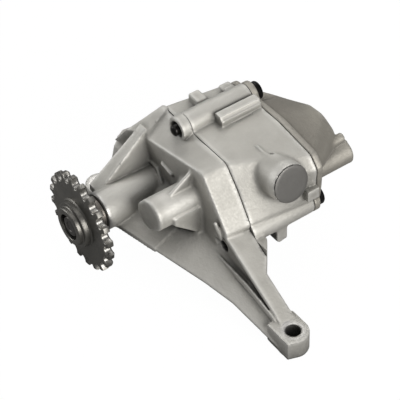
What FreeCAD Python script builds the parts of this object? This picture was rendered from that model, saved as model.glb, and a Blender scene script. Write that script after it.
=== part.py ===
import FreeCAD, Part
import math
import os
import re
import Sketcher

# Engine oil pump: two gear stages on one shaft behind a roller-chain sprocket.
# x runs back along the drive shaft from the chain plane, y to the left seen from the sprocket, z up.

# Driving sizes in millimetres and degrees.
SIZES = {
    # chain sprocket
    "sprocket_teeth": 20,
    "chain_pitch": 9.525,
    "chain_roller_radius": 3.2,
    "sprocket_tip_radius": 32.5,
    "sprocket_width": 5.3,
    "tooth_chamfer": 0.9,
    "hub_flange_radius": 15,
    "hub_flange_front_x": -6.6,
    "hub_radius": 12.3,
    "hub_front_x": -9.5,
    "hub_recess_radius": 8.5,
    "hub_recess_floor_x": -1.5,
    "collar_radius": 11,
    "collar_rear_x": 8,
    # shafts, bushes and their fits
    "shaft_radius": 7.5,
    "shaft_front_gap": 0.4,
    "shaft_rear_x": 127,
    "idler_front_x": 33,
    "shaft_chamfer": 0.8,
    "bush_radius": 9.5,
    "running_clearance": 0.03,
    "bush_length": 16,
    "neck_bush_front_x": 12.5,
    "thrust_washer_radius": 10.4,
    "end_clearance": 0.1,
    "key_width": 4,
    "key_height": 4,
    "key_rise": 2,
    # clamp bolt of the sprocket
    "clamp_bolt_radius": 4,
    "clamp_bolt_length": 22,
    "clamp_head_radius": 6.5,
    "clamp_head_height": 5.6,
    "clamp_washer_radius": 8.2,
    "clamp_washer_thickness": 1.6,
    "clamp_socket_width": 6,
    "clamp_socket_depth": 3.4,
    # gears
    "gear_teeth": 10,
    "gear_module": 4,
    "gear_pressure_angle": 27,
    "gear_tip_radius": 23.6,
    "gear_root_radius": 15.6,
    "gear_backlash": 0.12,
    "idler_y": -36.25,
    "idler_z": 16.9,
    "chamber_clearance": 0.15,
    # stations along the shaft
    "neck_front_x": 11.5,
    "boss_front_x": 25.5,
    "front_wall_x": 54.5,
    "front_split_x": 70.5,
    "partition_front_x": 87,
    "partition_rear_x": 103,
    "rear_split_x": 115,
    "cover_flange_x": 119.5,
    "cover_end_x": 145,
    "pipe_end_x": 158,
    # front housing
    "neck_radius": 12.3,
    "boss_radius": 10.3,
    "root_fillet": 3,
    "boss_bore_radius": 7.9,
    "rim_chamfer": 0.9,
    "gusset_thickness": 4,
    "neck_gusset_y": 14,
    "boss_gusset_y": -44,
    "rib_thickness": 2.5,
    "rib_y": -36.5,
    "leg_depth": 10.5,
    "leg_channel_depth": 1.5,
    "leg_hole_radius": 3.6,
    "leg_hole_y": -66.8,
    "leg_hole_z": -2.2,
    "lip_front_x": 53.3,
    "lip_thickness": 1.4,
    "left_leg_y": 37,
    "left_leg_thickness": 9,
    "pad_radius": 9.5,
    "pad_hole_radius": 4.6,
    "screw_room_height": 10,
    "pad_top_z": -20,
    "pad_bottom_z": -33.5,
    "right_pad_x": 57.85,
    "right_pad_y": -130.3,
    "left_pad_x": 36.85,
    "left_pad_y": 39.7,
    "leg_height": 47.03,
    "leg_slope": 0.54,
    "flange_front_y": -89.4,
    "flange_rear_x": 77,
    "flange_rear_y": -81,
    "rail_front_x": 86,
    "web_height": -12.5,
    "web_slope_x": 0.464,
    "web_slope_y": 0.307,
    "web_thickness": 3,
    # bolts through the three castings
    "bolt_radius": 4,
    "bolt_hole_radius": 4.3,
    "tube_radius": 8,
    "bolt_tip_x": 63,
    "short_bolt_tip_x": 72,
    "tube_front_x": 67,
    "bolt_seat_x": 119.5,
    "seat_room": 0.6,
    "bolt_head_radius": 6.5,
    "bolt_head_height": 5,
    "bolt_socket_width": 6,
    "bolt_socket_depth": 3,
    "top_bolt_y": -10,
    "top_bolt_z": 44.5,
    "left_bolt_y": 36,
    "left_bolt_z": 0,
    "bottom_bolt_y": -16,
    "bottom_bolt_z": -25.5,
    "right_bolt_y": -70,
    "right_bolt_z": 3.5,
    "dowel_radius": 5.6,
    "dowel_bore_radius": 4.5,
    "dowel_half_length": 4,
    # relief valve, distances measured inwards from its end face
    "valve_x": 94.4,
    "valve_y": -81,
    "valve_z": 36.5,
    "valve_tilt": 13,
    "valve_boss_radius": 12.5,
    "valve_boss_length": 34,
    "valve_plug_radius": 11.4,
    "valve_plug_depth": 5,
    "valve_bore_radius": 5.5,
    "valve_seat_depth": 26,
    "valve_seat_radius": 3.4,
    "valve_feed_depth": 33,
    "valve_clearance": 0.04,
    "valve_piston_length": 11,
    "valve_cup_radius": 4.4,
    "valve_cup_floor": 2.5,
    "spring_radius": 3.4,
    "spring_wire_radius": 0.6,
    "spring_turns": 6,
    # ports and pipe stub
    "suction_y": -32,
    "suction_radius": 8,
    "scavenge_radius": 5.8,
    "suction_wall": 3,
    "suction_face_z": -33,
    "suction_mouth_depth": 8,
    "suction_top_z": 2,
    "pressure_port_z": 26,
    "pressure_port_radius": 6,
    "port_y": -10.5,
    "port_z": 24.8,
    "port_radius": 5,
    "passage_front_x": 129,
    "passage_depth": 8,
    "pipe_y": -53.5,
    "pipe_z": 7.5,
    "pipe_radius": 8,
    "pipe_step": 0.3,
    "ridge_end_x": 149,
    "ridge_radius": 3,
    "ridge_y": -60,
    "ridge_z": 27.5,
    "pipe_bore_radius": 5.6,
    "cross_passage_radius": 3.5,
    "cross_passage_z": 16,
    "ring_thickness": 1.2,
    "ring_radius": 9.6,
    "ring_groove_depth": 0.6,
}

# Casting outlines across the shaft: corners as y, z and corner radius.
OUTLINES = {
    "wall": [(24, 25.7, 5), (-12, 34.6, 20), (-48, 43.2, 6), (-57, 31, 8), (-71.3, 11.1, 4), (-71, -6, 6),
             (-54, -20, 8), (-24, -28, 12), (14, -28, 12), (30, -12, 8), (33, 10, 8)],
    "joint": [(12, 44.5, 6), (-30, 44.6, 20), (-51, 44.5, 6), (-62, 31, 8), (-74, 12, 4), (-69, -6, 6),
              (-52, -21, 8), (-24, -31, 12), (16, -31, 12), (33, -12, 8), (34, 14, 8)],
    "cover": [(5, 45, 6), (-42, 46.5, 20), (-73, 42, 6), (-79.5, 34.5, 4), (-78, 12, 4), (-71, -6, 6),
              (-52, -21, 8), (-24, -31, 12), (14, -31, 12), (31, -12, 8), (27, 16, 8)],
    "step": [(3, 43, 6), (-42, 44.8, 20), (-71, 40.5, 7), (-77, 34, 5), (-74, 20, 8), (-58, 0, 8),
             (-44, -18, 8), (-24, -29, 12), (12, -29, 12), (29, -12, 8), (25, 15, 8)],
    "dome": [(-18, 30, 6), (-34, 38, 10), (-46, 39.3, 12), (-57, 34, 8), (-63, 22, 8), (-62, 8, 6),
             (-50, -6, 8), (-24, -20, 10), (6, -20, 10), (16, -8, 8), (8, 16, 8)],
}

doc = FreeCAD.newDocument("engine_oil_pump")
sheet = doc.addObject("Spreadsheet::Sheet", "sizes")
row = 0
for name, number in SIZES.items():
    row += 1
    sheet.set("A%d" % row, name)
    sheet.set("B%d" % row, str(number))
    sheet.setAlias("B%d" % row, name)
names = set(SIZES)
for outline, corners in OUTLINES.items():
    for number, corner in enumerate(corners):
        for part, amount in zip(("y", "z", "r"), corner):
            row += 1
            name = "%s_%s%d" % (outline, part, number)
            names.add(name)
            sheet.set("A%d" % row, name)
            sheet.set("B%d" % row, str(amount))
            sheet.setAlias("B%d" % row, name)
doc.recompute()


def bound(formula):
    """A formula over size names, written the way an expression names the sheet's cells."""
    return re.sub(r"[a-z][a-z0-9_]*",
                  lambda word: "sizes." + word.group() if word.group() in names else word.group(), formula)


def size(formula):
    """The number that a formula over size names gives."""
    return float(sheet.evalExpression(bound(formula)))


def vector(x, y, z=0):
    return FreeCAD.Vector(x, y, z)


def new_body(label, y="0", z="0"):
    """A body of its own, its origin moved across the shaft to y, z."""
    body = doc.addObject("PartDesign::Body", label)
    body.AllowCompound = True
    body.setExpression("Placement.Base.y", bound(y))
    body.setExpression("Placement.Base.z", bound(z))
    return body


def new_sketch(body, name, role, offset="0"):
    """A sketch on one of the body's origin planes, moved along the plane's normal."""
    sketch = body.newObject("Sketcher::SketchObject", name)
    for plane in body.Origin.OriginFeatures:
        if plane.Role == role:
            sketch.AttachmentSupport = [(plane, "")]
    sketch.MapMode = "FlatFace"
    sketch.setExpression("AttachmentOffset.Base.z", bound(offset))
    return sketch


def dimension(sketch, kind, formula, *where):
    """A dimension whose value stays tied to the sheet."""
    number = sketch.addConstraint(Sketcher.Constraint(kind, *where, size(formula)))
    sketch.setExpression("Constraints[%d]" % number, bound(formula))


def place_point(sketch, piece, end, across, up):
    """Ties one point of a sketch piece to formulas for its two coordinates."""
    for kind, axis, formula in (("DistanceX", -2, across), ("DistanceY", -1, up)):
        if abs(size(formula)) < 1e-9:
            sketch.addConstraint(Sketcher.Constraint("PointOnObject", piece, end, axis))
        else:
            dimension(sketch, kind, formula, -1, 1, piece, end)


def add_circle(sketch, radius, across="0", up="0"):
    centre = vector(size(across), size(up))
    circle = sketch.addGeometry(Part.Circle(centre, vector(0, 0, 1), size(radius)), False)
    place_point(sketch, circle, 3, across, up)
    dimension(sketch, "Radius", radius, circle)


def add_polygon(sketch, corners):
    """A closed outline of straight lines through corners given as pairs of formulas."""
    points = [vector(size(across), size(up)) for across, up in corners]
    lines = []
    for number, point in enumerate(points):
        following = points[(number + 1) % len(points)]
        lines.append(sketch.addGeometry(Part.LineSegment(point, following), False))
    for number, line in enumerate(lines):
        following = lines[(number + 1) % len(lines)]
        sketch.addConstraint(Sketcher.Constraint("Coincident", line, 2, following, 1))
    for line, (across, up) in zip(lines, corners):
        place_point(sketch, line, 1, across, up)


def add_rounded(sketch, outline):
    """A closed outline with rounded corners, every corner tied to its cells in the sheet."""
    count = len(OUTLINES[outline])
    cells = [tuple("%s_%s%d" % (outline, part, number) for part in ("y", "z", "r")) for number in range(count)]
    points = [vector(size(y), size(z)) for y, z, r in cells]
    starts, ends, middles = [], [], []
    for number, point in enumerate(points):
        back = (points[number - 1] - point).normalize()
        ahead = (points[(number + 1) % count] - point).normalize()
        half = back.getAngle(ahead) / 2
        radius = size(cells[number][2])
        towards = (back + ahead).normalize()
        starts.append(point + back * (radius / math.tan(half)))
        ends.append(point + ahead * (radius / math.tan(half)))
        middles.append(point + towards * (radius / math.sin(half) - radius))
    lines = [sketch.addGeometry(Part.LineSegment(ends[number], starts[(number + 1) % count]), False)
             for number in range(count)]
    arcs = [sketch.addGeometry(Part.Arc(starts[number], middles[number], ends[number]), False)
            for number in range(count)]
    marks = [sketch.addGeometry(Part.Point(point), True) for point in points]
    for number in range(count):
        arc = arcs[number]
        first = (sketch.Geometry[arc].StartPoint - starts[number]).Length < 1e-6
        incoming, outgoing = (1, 2) if first else (2, 1)
        sketch.addConstraint([
            Sketcher.Constraint("Tangent", lines[number - 1], 2, arc, incoming),
            Sketcher.Constraint("Tangent", lines[number], 1, arc, outgoing),
            Sketcher.Constraint("PointOnObject", marks[number], 1, lines[number]),
            Sketcher.Constraint("PointOnObject", marks[number], 1, lines[number - 1])])
        y, z, r = cells[number]
        dimension(sketch, "Radius", r, arc)
        dimension(sketch, "DistanceX", y, -1, 1, marks[number], 1)
        dimension(sketch, "DistanceY", z, -1, 1, marks[number], 1)


def pad(body, sketch, length, name="pad", reverse=False):
    feature = body.newObject("PartDesign::Pad", name)
    feature.Profile = sketch
    feature.setExpression("Length", bound(length))
    feature.Reversed = reverse
    return feature


def pocket(body, sketch, length, name="pocket", reverse=False):
    """Cuts along the sketch's normal, or against it when reversed."""
    feature = body.newObject("PartDesign::Pocket", name)
    feature.Profile = sketch
    feature.setExpression("Length", bound(length))
    feature.Reversed = not reverse
    return feature


def rod(body, front, rear, radius, y="0", z="0", name="rod"):
    """A round boss along the shaft direction from one station to another."""
    sketch = new_sketch(body, name + "_circle", "YZ_Plane", front)
    add_circle(sketch, radius, y, z)
    return pad(body, sketch, "(%s) - (%s)" % (rear, front), name)


def bore(body, front, rear, circles, name="bore"):
    """Round holes along the shaft direction; circles are triples of radius, y and z."""
    sketch = new_sketch(body, name + "_circles", "YZ_Plane", front)
    for radius, y, z in circles:
        add_circle(sketch, radius, y, z)
    return pocket(body, sketch, "(%s) - (%s)" % (rear, front), name)


def turned(body, corners, name="turned", kind="PartDesign::Revolution"):
    """A ring or shaft turned about the body's own x axis from a profile of x and radius formulas."""
    sketch = new_sketch(body, name + "_profile", "XZ_Plane")
    add_polygon(sketch, corners)
    feature = body.newObject(kind, name)
    feature.Profile = sketch
    feature.ReferenceAxis = (sketch, ["H_Axis"])
    feature.Angle = 360
    return feature


def tube_profile(front, rear, inner, outer):
    return [(front, inner), (rear, inner), (rear, outer), (front, outer)]


def loft(body, front_outline, front, rear_outline, rear, name="loft"):
    """A casting wall ruled between two rounded outlines."""
    ends = []
    for outline, station in ((front_outline, front), (rear_outline, rear)):
        sketch = new_sketch(body, outline + "_outline", "YZ_Plane", station)
        add_rounded(sketch, outline)
        ends.append(sketch)
    feature = body.newObject("PartDesign::AdditiveLoft", name)
    feature.Profile = ends[0]
    feature.Sections = [ends[1]]
    feature.Ruled = True
    return feature


def circle_edges(shape, x, radii):
    """Names of whole circular edges that lie in the plane x and have one of the radii."""
    found = []
    for number, edge in enumerate(shape.Edges):
        if edge.Curve.TypeId != "Part::GeomCircle" or not edge.isClosed():
            continue
        if abs(edge.BoundBox.XMin - x) + abs(edge.BoundBox.XMax - x) > 1e-4:
            continue
        if any(abs(edge.Curve.Radius - radius) < 1e-4 for radius in radii):
            found.append("Edge%d" % (number + 1))
    return found


def soften(body, kind, amount, edges, name):
    """Fillet or chamfer on named edges of the body's present tip."""
    tip = body.Tip
    feature = body.newObject(kind, name)
    feature.Base = (tip, edges)
    feature.setExpression("Radius" if kind.endswith("Fillet") else "Size", bound(amount))
    return feature


def chamber_circles():
    radius = "gear_tip_radius + chamber_clearance"
    return [(radius, "0", "0"), (radius, "idler_y", "idler_z")]


def bolt_places():
    return [("top_bolt_y", "top_bolt_z"), ("left_bolt_y", "left_bolt_z"), ("bottom_bolt_y", "bottom_bolt_z")]


def dowel_places():
    return [("left_bolt_y", "left_bolt_z"), ("bottom_bolt_y", "bottom_bolt_z")]


def valve_placement():
    """Frame of the relief valve: origin in the end face, z axis pointing inwards along the bore."""
    tilt = math.radians(size("valve_tilt"))
    inwards = vector(0, math.cos(tilt), -math.sin(tilt))
    turn = FreeCAD.Rotation(vector(0, 0, 1), inwards)
    return FreeCAD.Placement(vector(size("valve_x"), size("valve_y"), size("valve_z")), turn)


def front_housing():
    body = new_body("front_housing")
    loft(body, "wall", "front_wall_x", "joint", "front_split_x", "housing_wall")
    rod(body, "neck_front_x", "front_wall_x + 1", "neck_radius", name="neck")
    rod(body, "boss_front_x", "front_wall_x + 1", "boss_radius", "idler_y", "idler_z", "idler_boss")
    doc.recompute()
    roots = circle_edges(body.Tip.Shape, size("front_wall_x"), [size("neck_radius"), size("boss_radius")])
    soften(body, "PartDesign::Fillet", "root_fillet", roots, "boss_roots")
    doc.recompute()
    rims = circle_edges(body.Tip.Shape, size("boss_front_x"), [size("boss_radius")])
    rims += circle_edges(body.Tip.Shape, size("neck_front_x"), [size("neck_radius")])
    soften(body, "PartDesign::Chamfer", "rim_chamfer", rims, "boss_rims")

    # upright gussets left of the neck and right of the idler boss
    sketch = new_sketch(body, "neck_gusset_outline", "XZ_Plane", "-neck_gusset_y")
    add_polygon(sketch, [("17.4", "4"), ("17.4", "6"), ("35.4", "20"), ("front_wall_x + 1", "30"),
                         ("front_wall_x + 1", "4")])
    pad(body, sketch, "gusset_thickness", "neck_gusset")
    sketch = new_sketch(body, "boss_gusset_outline", "XZ_Plane", "-boss_gusset_y")
    add_polygon(sketch, [("34.8", "17"), ("34.8", "11.7"), ("front_wall_x + 1", "-7"),
                         ("front_wall_x + 1", "17")])
    pad(body, sketch, "gusset_thickness", "boss_gusset")
    sketch = new_sketch(body, "boss_rib_outline", "XZ_Plane", "-rib_y")
    add_polygon(sketch, [("37", "24"), ("37", "26.6"), ("front_wall_x + 1", "38.5"), ("front_wall_x + 1", "24")])
    pad(body, sketch, "rib_thickness", "boss_rib")

    # right bracket leg with its flare towards the joint face
    sketch = new_sketch(body, "leg_outline", "YZ_Plane", "front_wall_x")
    add_polygon(sketch, [("-60", "14.6"), ("-124", "pad_top_z"), ("-128", "pad_top_z"),
                         ("-128", "pad_bottom_z"), ("-121", "pad_bottom_z"), ("-60", "-24")])
    pad(body, sketch, "leg_depth", "right_leg")
    flares = []
    for station, end in (("front_wall_x + leg_depth", "-96"), ("front_split_x", "flange_front_y")):
        sketch = new_sketch(body, "flare_outline", "YZ_Plane", station)
        add_polygon(sketch, [("-60", "14.6"), (end, "leg_height + leg_slope * " + end), (end, "-29"),
                             ("-60", "-24")])
        flares.append(sketch)
    flare = body.newObject("PartDesign::AdditiveLoft", "leg_flare")
    flare.Profile = flares[0]
    flare.Sections = [flares[1]]
    flare.Ruled = True

    # left bracket leg: an upright plate down to its pad
    sketch = new_sketch(body, "left_leg_outline", "XZ_Plane", "-left_leg_y")
    add_polygon(sketch, [("front_split_x", "14"), ("front_wall_x", "17"), ("47.5", "8"), ("44", "-5"),
                         ("42", "-18"), ("36", "pad_top_z"), ("36", "pad_bottom_z"), ("50", "pad_bottom_z"),
                         ("front_split_x", "-14")])
    pad(body, sketch, "left_leg_thickness", "left_leg")
    sketch = new_sketch(body, "pad_outlines", "XY_Plane", "pad_bottom_z")
    add_circle(sketch, "pad_radius", "right_pad_x", "right_pad_y")
    add_circle(sketch, "pad_radius", "left_pad_x", "left_pad_y")
    pad(body, sketch, "pad_top_z - pad_bottom_z", "foot_pads")

    # sloping web plate between neck, front wall, right leg and right pad
    sketch = body.newObject("Sketcher::SketchObject", "web_outline")
    for plane in body.Origin.OriginFeatures:
        if plane.Role == "XY_Plane":
            sketch.AttachmentSupport = [(plane, "")]
    sketch.MapMode = "FlatFace"
    normal = vector(-size("web_slope_x"), -size("web_slope_y"), 1).normalize()
    lie = FreeCAD.Placement(vector(0, 0, size("web_height")), FreeCAD.Rotation(vector(0, 0, 1), normal))
    sketch.AttachmentOffset = lie
    corners = []
    for x, y in ((15, -2), (17.5, -8), (37.6, -71.4), (43, -91.6), (48.4, -131), (57, -131), (58, -117),
                 (58, -56), (44.9, -37.5), (37.1, -29.9), (20, -6)):
        height = size("web_height") + size("web_slope_x") * x + size("web_slope_y") * y
        local = lie.inverse().multVec(vector(x, y, height))
        corners.append(("%.4f" % local.x, "%.4f" % local.y))
    add_polygon(sketch, corners)
    pad(body, sketch, "web_thickness", "web", True)

    # square shoulder of the right pad, and a thin lip in front of the leg's channel
    sketch = new_sketch(body, "shoulder_outline", "XY_Plane", "pad_bottom_z")
    add_polygon(sketch, [("right_pad_x - 9.2", "right_pad_y + 13"), ("right_pad_x - 9.2", "right_pad_y - 6.8"),
                         ("right_pad_x - 4", "right_pad_y - 8.6"), ("right_pad_x + 9.4", "right_pad_y"),
                         ("right_pad_x + 9.4", "right_pad_y + 13")])
    pad(body, sketch, "pad_top_z - pad_bottom_z", "pad_shoulder")
    sketch = new_sketch(body, "lip_outline", "YZ_Plane", "lip_front_x")
    add_polygon(sketch, [("-62", "-8.2"), ("-75", "-10.7"), ("-91", "-13.2"), ("-105", "-15.9"),
                         ("-118", "-19.3"), ("-124", "-23"), ("-124", "-28"), ("-91", "-19"), ("-62", "-11")])
    pad(body, sketch, "lip_thickness", "channel_lip")

    # bolt bosses
    rod(body, "tube_front_x", "front_split_x", "tube_radius", "top_bolt_y", "top_bolt_z", "top_tube")
    rod(body, "front_wall_x", "front_split_x", "tube_radius", "left_bolt_y", "left_bolt_z", "left_tube")
    rod(body, "front_wall_x", "front_split_x", "tube_radius", "bottom_bolt_y", "bottom_bolt_z", "bottom_tube")

    # bearing bores, bolt holes, foot holes and the leg's channel
    bore(body, "neck_front_x", "front_split_x", [("bush_radius", "0", "0")], "drive_bore")
    bore(body, "front_split_x - bush_length", "front_split_x", [("bush_radius", "idler_y", "idler_z")],
         "idler_bore")
    bore(body, "idler_front_x - 1", "front_split_x", [("boss_bore_radius", "idler_y", "idler_z")], "boss_bore")
    bore(body, "bolt_tip_x - 1", "front_split_x", [("bolt_radius", y, z) for y, z in bolt_places()],
         "bolt_threads")
    bore(body, "front_split_x - dowel_half_length", "front_split_x",
         [("dowel_radius", y, z) for y, z in dowel_places()], "dowel_seats")
    sketch = new_sketch(body, "foot_holes_circles", "XY_Plane", "pad_bottom_z")
    add_circle(sketch, "pad_hole_radius", "right_pad_x", "right_pad_y")
    add_circle(sketch, "pad_hole_radius", "left_pad_x", "left_pad_y")
    pocket(body, sketch, "pad_top_z - pad_bottom_z", "foot_holes")
    sketch = new_sketch(body, "leg_channel_outline", "YZ_Plane", "front_wall_x")
    add_polygon(sketch, [("-62", "10"), ("-112", "-16.5"), ("-116", "-22"), ("-62", "-6")])
    pocket(body, sketch, "leg_channel_depth", "leg_channel")
    bore(body, "front_wall_x", "front_split_x - 2", [("leg_hole_radius", "leg_hole_y", "leg_hole_z")],
         "leg_hole")
    sketch = new_sketch(body, "screw_room_circle", "XY_Plane", "pad_top_z")
    add_circle(sketch, "pad_radius - 0.5", "left_pad_x", "left_pad_y")
    pocket(body, sketch, "screw_room_height", "screw_room")
    return body


def middle_housing():
    body = new_body("middle_housing")
    loft(body, "joint", "front_split_x", "cover", "rear_split_x", "housing_wall")
    rod(body, "front_split_x", "rear_split_x", "tube_radius", "top_bolt_y", "top_bolt_z", "top_tube")
    for y, z in bolt_places()[1:] + [("right_bolt_y", "right_bolt_z")]:
        rod(body, "front_split_x", "rear_split_x", "tube_radius", y, z, "bolt_tube")
    # flange below the right joint corner, in one plane with the bracket leg
    sketch = new_sketch(body, "flange_outline", "XY_Plane", "-14")
    add_polygon(sketch, [("front_split_x", "-60"), ("front_split_x", "flange_front_y"),
                         ("flange_rear_x", "flange_rear_y"), ("flange_rear_x", "-60")])
    pad(body, sketch, "14 + leg_height + leg_slope * flange_rear_y", "flange")

    # rail and lugs on the top, lugs on the right side
    sketch = new_sketch(body, "rail_outline", "YZ_Plane", "rail_front_x")
    add_polygon(sketch, [("-18.5", "40"), ("-18.5", "52"), ("-23.8", "51.6"), ("-24.4", "49.6"),
                         ("-25.8", "49.4"), ("-25.8", "40")])
    pad(body, sketch, "rear_split_x - rail_front_x", "rail")
    sketch = new_sketch(body, "top_lugs_outline", "XZ_Plane", "-5")
    add_polygon(sketch, [("84", "41"), ("84", "48"), ("91", "48"), ("94", "46"), ("94", "41")])
    add_polygon(sketch, [("105", "41"), ("105", "49.5"), ("111", "49.5"), ("113", "47.5"), ("113", "41")])
    pad(body, sketch, "10", "top_lugs")
    sketch = new_sketch(body, "side_lugs_outline", "XZ_Plane", "62")
    add_polygon(sketch, [("88", "2"), ("96", "0"), ("96", "-12"), ("90", "-13"), ("88", "-11")])
    add_polygon(sketch, [("109.5", "20.5"), ("rear_split_x", "20.5"), ("rear_split_x", "9"), ("109.5", "9")])
    pad(body, sketch, "14", "side_lugs")

    # relief valve boss, its sketches lying across the tilted bore
    cross = valve_placement()

    def valve_circle(radius, depth, name):
        sketch = body.newObject("Sketcher::SketchObject", name)
        for plane in body.Origin.OriginFeatures:
            if plane.Role == "XY_Plane":
                sketch.AttachmentSupport = [(plane, "")]
        sketch.MapMode = "FlatFace"
        sketch.AttachmentOffset = FreeCAD.Placement(cross.multVec(vector(0, 0, size(depth))), cross.Rotation)
        add_circle(sketch, radius)
        return sketch

    pad(body, valve_circle("valve_boss_radius", "0", "valve_boss_circle"), "valve_boss_length", "valve_boss")

    # suction bosses underneath
    sketch = new_sketch(body, "suction_boss_circles", "XY_Plane", "suction_face_z")
    add_circle(sketch, "suction_radius + suction_wall", "(front_split_x + partition_front_x) / 2", "suction_y")
    add_circle(sketch, "scavenge_radius + suction_wall", "(partition_rear_x + rear_split_x) / 2", "suction_y")
    pad(body, sketch, "12", "suction_bosses")
    for front, length in (("front_split_x - 8", "8"), ("rear_split_x", "8")):
        sketch = new_sketch(body, "joint_face_outline", "YZ_Plane", front)
        add_polygon(sketch, [("-50", "-40"), ("-50", "-18"), ("-15", "-18"), ("-15", "-40")])
        pocket(body, sketch, length, "joint_face_cut")

    # gear chambers, bearing bores, bolt and dowel holes
    bore(body, "front_split_x", "partition_front_x", chamber_circles()[:1], "main_chamber_drive")
    bore(body, "front_split_x", "partition_front_x", chamber_circles()[1:], "main_chamber_idler")
    bore(body, "partition_rear_x", "rear_split_x", chamber_circles()[:1], "scavenge_chamber_drive")
    bore(body, "partition_rear_x", "rear_split_x", chamber_circles()[1:], "scavenge_chamber_idler")
    bore(body, "partition_front_x", "partition_rear_x",
         [("bush_radius", "0", "0"), ("bush_radius", "idler_y", "idler_z")], "partition_bores")
    bore(body, "front_split_x", "rear_split_x", [("bolt_hole_radius", y, z) for y, z in bolt_places()],
         "bolt_holes")
    bore(body, "short_bolt_tip_x - 1", "rear_split_x", [("bolt_radius", "right_bolt_y", "right_bolt_z")],
         "right_bolt_thread")
    for station in ("front_split_x", "rear_split_x - dowel_half_length"):
        bore(body, station, station + " + dowel_half_length",
             [("dowel_radius", y, z) for y, z in dowel_places()], "dowel_seats")

    # relief valve bore with counterbore, seat and feed
    pocket(body, valve_circle("valve_plug_radius", "0", "plug_circle"), "valve_plug_depth", "plug_counterbore")
    pocket(body, valve_circle("valve_bore_radius", "0", "bore_circle"), "valve_seat_depth", "valve_bore")
    pocket(body, valve_circle("valve_seat_radius", "0", "seat_circle"), "valve_feed_depth", "valve_seat")
    feed = cross.multVec(vector(0, 0, size("valve_feed_depth") - 2.5))
    bore(body, "partition_front_x", "valve_x", [("2.5", "%.4f" % feed.y, "%.4f" % feed.z)], "valve_feed")

    # suction mouths from below with narrower passages on, main pressure to the left
    main_x, scavenge_x = "(front_split_x + partition_front_x) / 2", "(partition_rear_x + rear_split_x) / 2"
    for main, scavenge, depth in (("suction_radius", "scavenge_radius", "suction_mouth_depth"),
                                  ("suction_radius - 1.2", "scavenge_radius - 1.2",
                                   "suction_top_z - suction_face_z")):
        sketch = new_sketch(body, "suction_circles", "XY_Plane", "suction_face_z")
        add_circle(sketch, main, main_x, "suction_y")
        add_circle(sketch, scavenge, scavenge_x, "suction_y")
        pocket(body, sketch, depth, "suction_ports")
    sketch = new_sketch(body, "pressure_circle", "XZ_Plane", "-45")
    add_circle(sketch, "pressure_port_radius", "(front_split_x + partition_front_x) / 2", "pressure_port_z")
    pocket(body, sketch, "45 - port_y", "pressure_port")
    return body


def rear_cover():
    body = new_body("rear_cover")
    sketch = new_sketch(body, "flange_outline", "YZ_Plane", "rear_split_x")
    add_rounded(sketch, "cover")
    pad(body, sketch, "cover_flange_x - rear_split_x", "flange")
    loft(body, "step", "cover_flange_x", "dome", "cover_end_x", "dome")
    for y, z in bolt_places() + [("right_bolt_y", "right_bolt_z")]:
        rod(body, "rear_split_x", "bolt_seat_x", "tube_radius", y, z, "bolt_tube")
    rod(body, "cover_flange_x", "cover_end_x", "pipe_radius - pipe_step", "pipe_y", "pipe_z", "pipe_root")
    rod(body, "cover_end_x", "pipe_end_x", "pipe_radius", "pipe_y", "pipe_z", "pipe_stub")
    rod(body, "cover_flange_x", "ridge_end_x", "ridge_radius", "ridge_y", "ridge_z", "ridge")
    bore(body, "rear_split_x", "shaft_rear_x + 1",
         [("bush_radius", "0", "0"), ("bush_radius", "idler_y", "idler_z")], "bush_bores")
    bore(body, "rear_split_x", "cover_end_x",
         [("bolt_hole_radius", y, z) for y, z in bolt_places() + [("right_bolt_y", "right_bolt_z")]],
         "bolt_holes")
    bore(body, "bolt_seat_x", "cover_end_x",
         [("tube_radius + seat_room", y, z) for y, z in bolt_places() + [("right_bolt_y", "right_bolt_z")]],
         "bolt_seats")
    bore(body, "rear_split_x", "rear_split_x + dowel_half_length",
         [("dowel_radius", y, z) for y, z in dowel_places()], "dowel_seats")
    bore(body, "rear_split_x", "passage_front_x + passage_depth", [("port_radius", "port_y", "port_z")], "port")
    bore(body, "passage_front_x", "pipe_end_x", [("pipe_bore_radius", "pipe_y", "pipe_z")], "pipe_bore")
    sketch = new_sketch(body, "cross_passage_circle", "XZ_Plane", "-port_y")
    add_circle(sketch, "cross_passage_radius", "passage_front_x + passage_depth / 2", "cross_passage_z")
    pocket(body, sketch, "port_y - pipe_y", "cross_passage")
    return body


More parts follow.
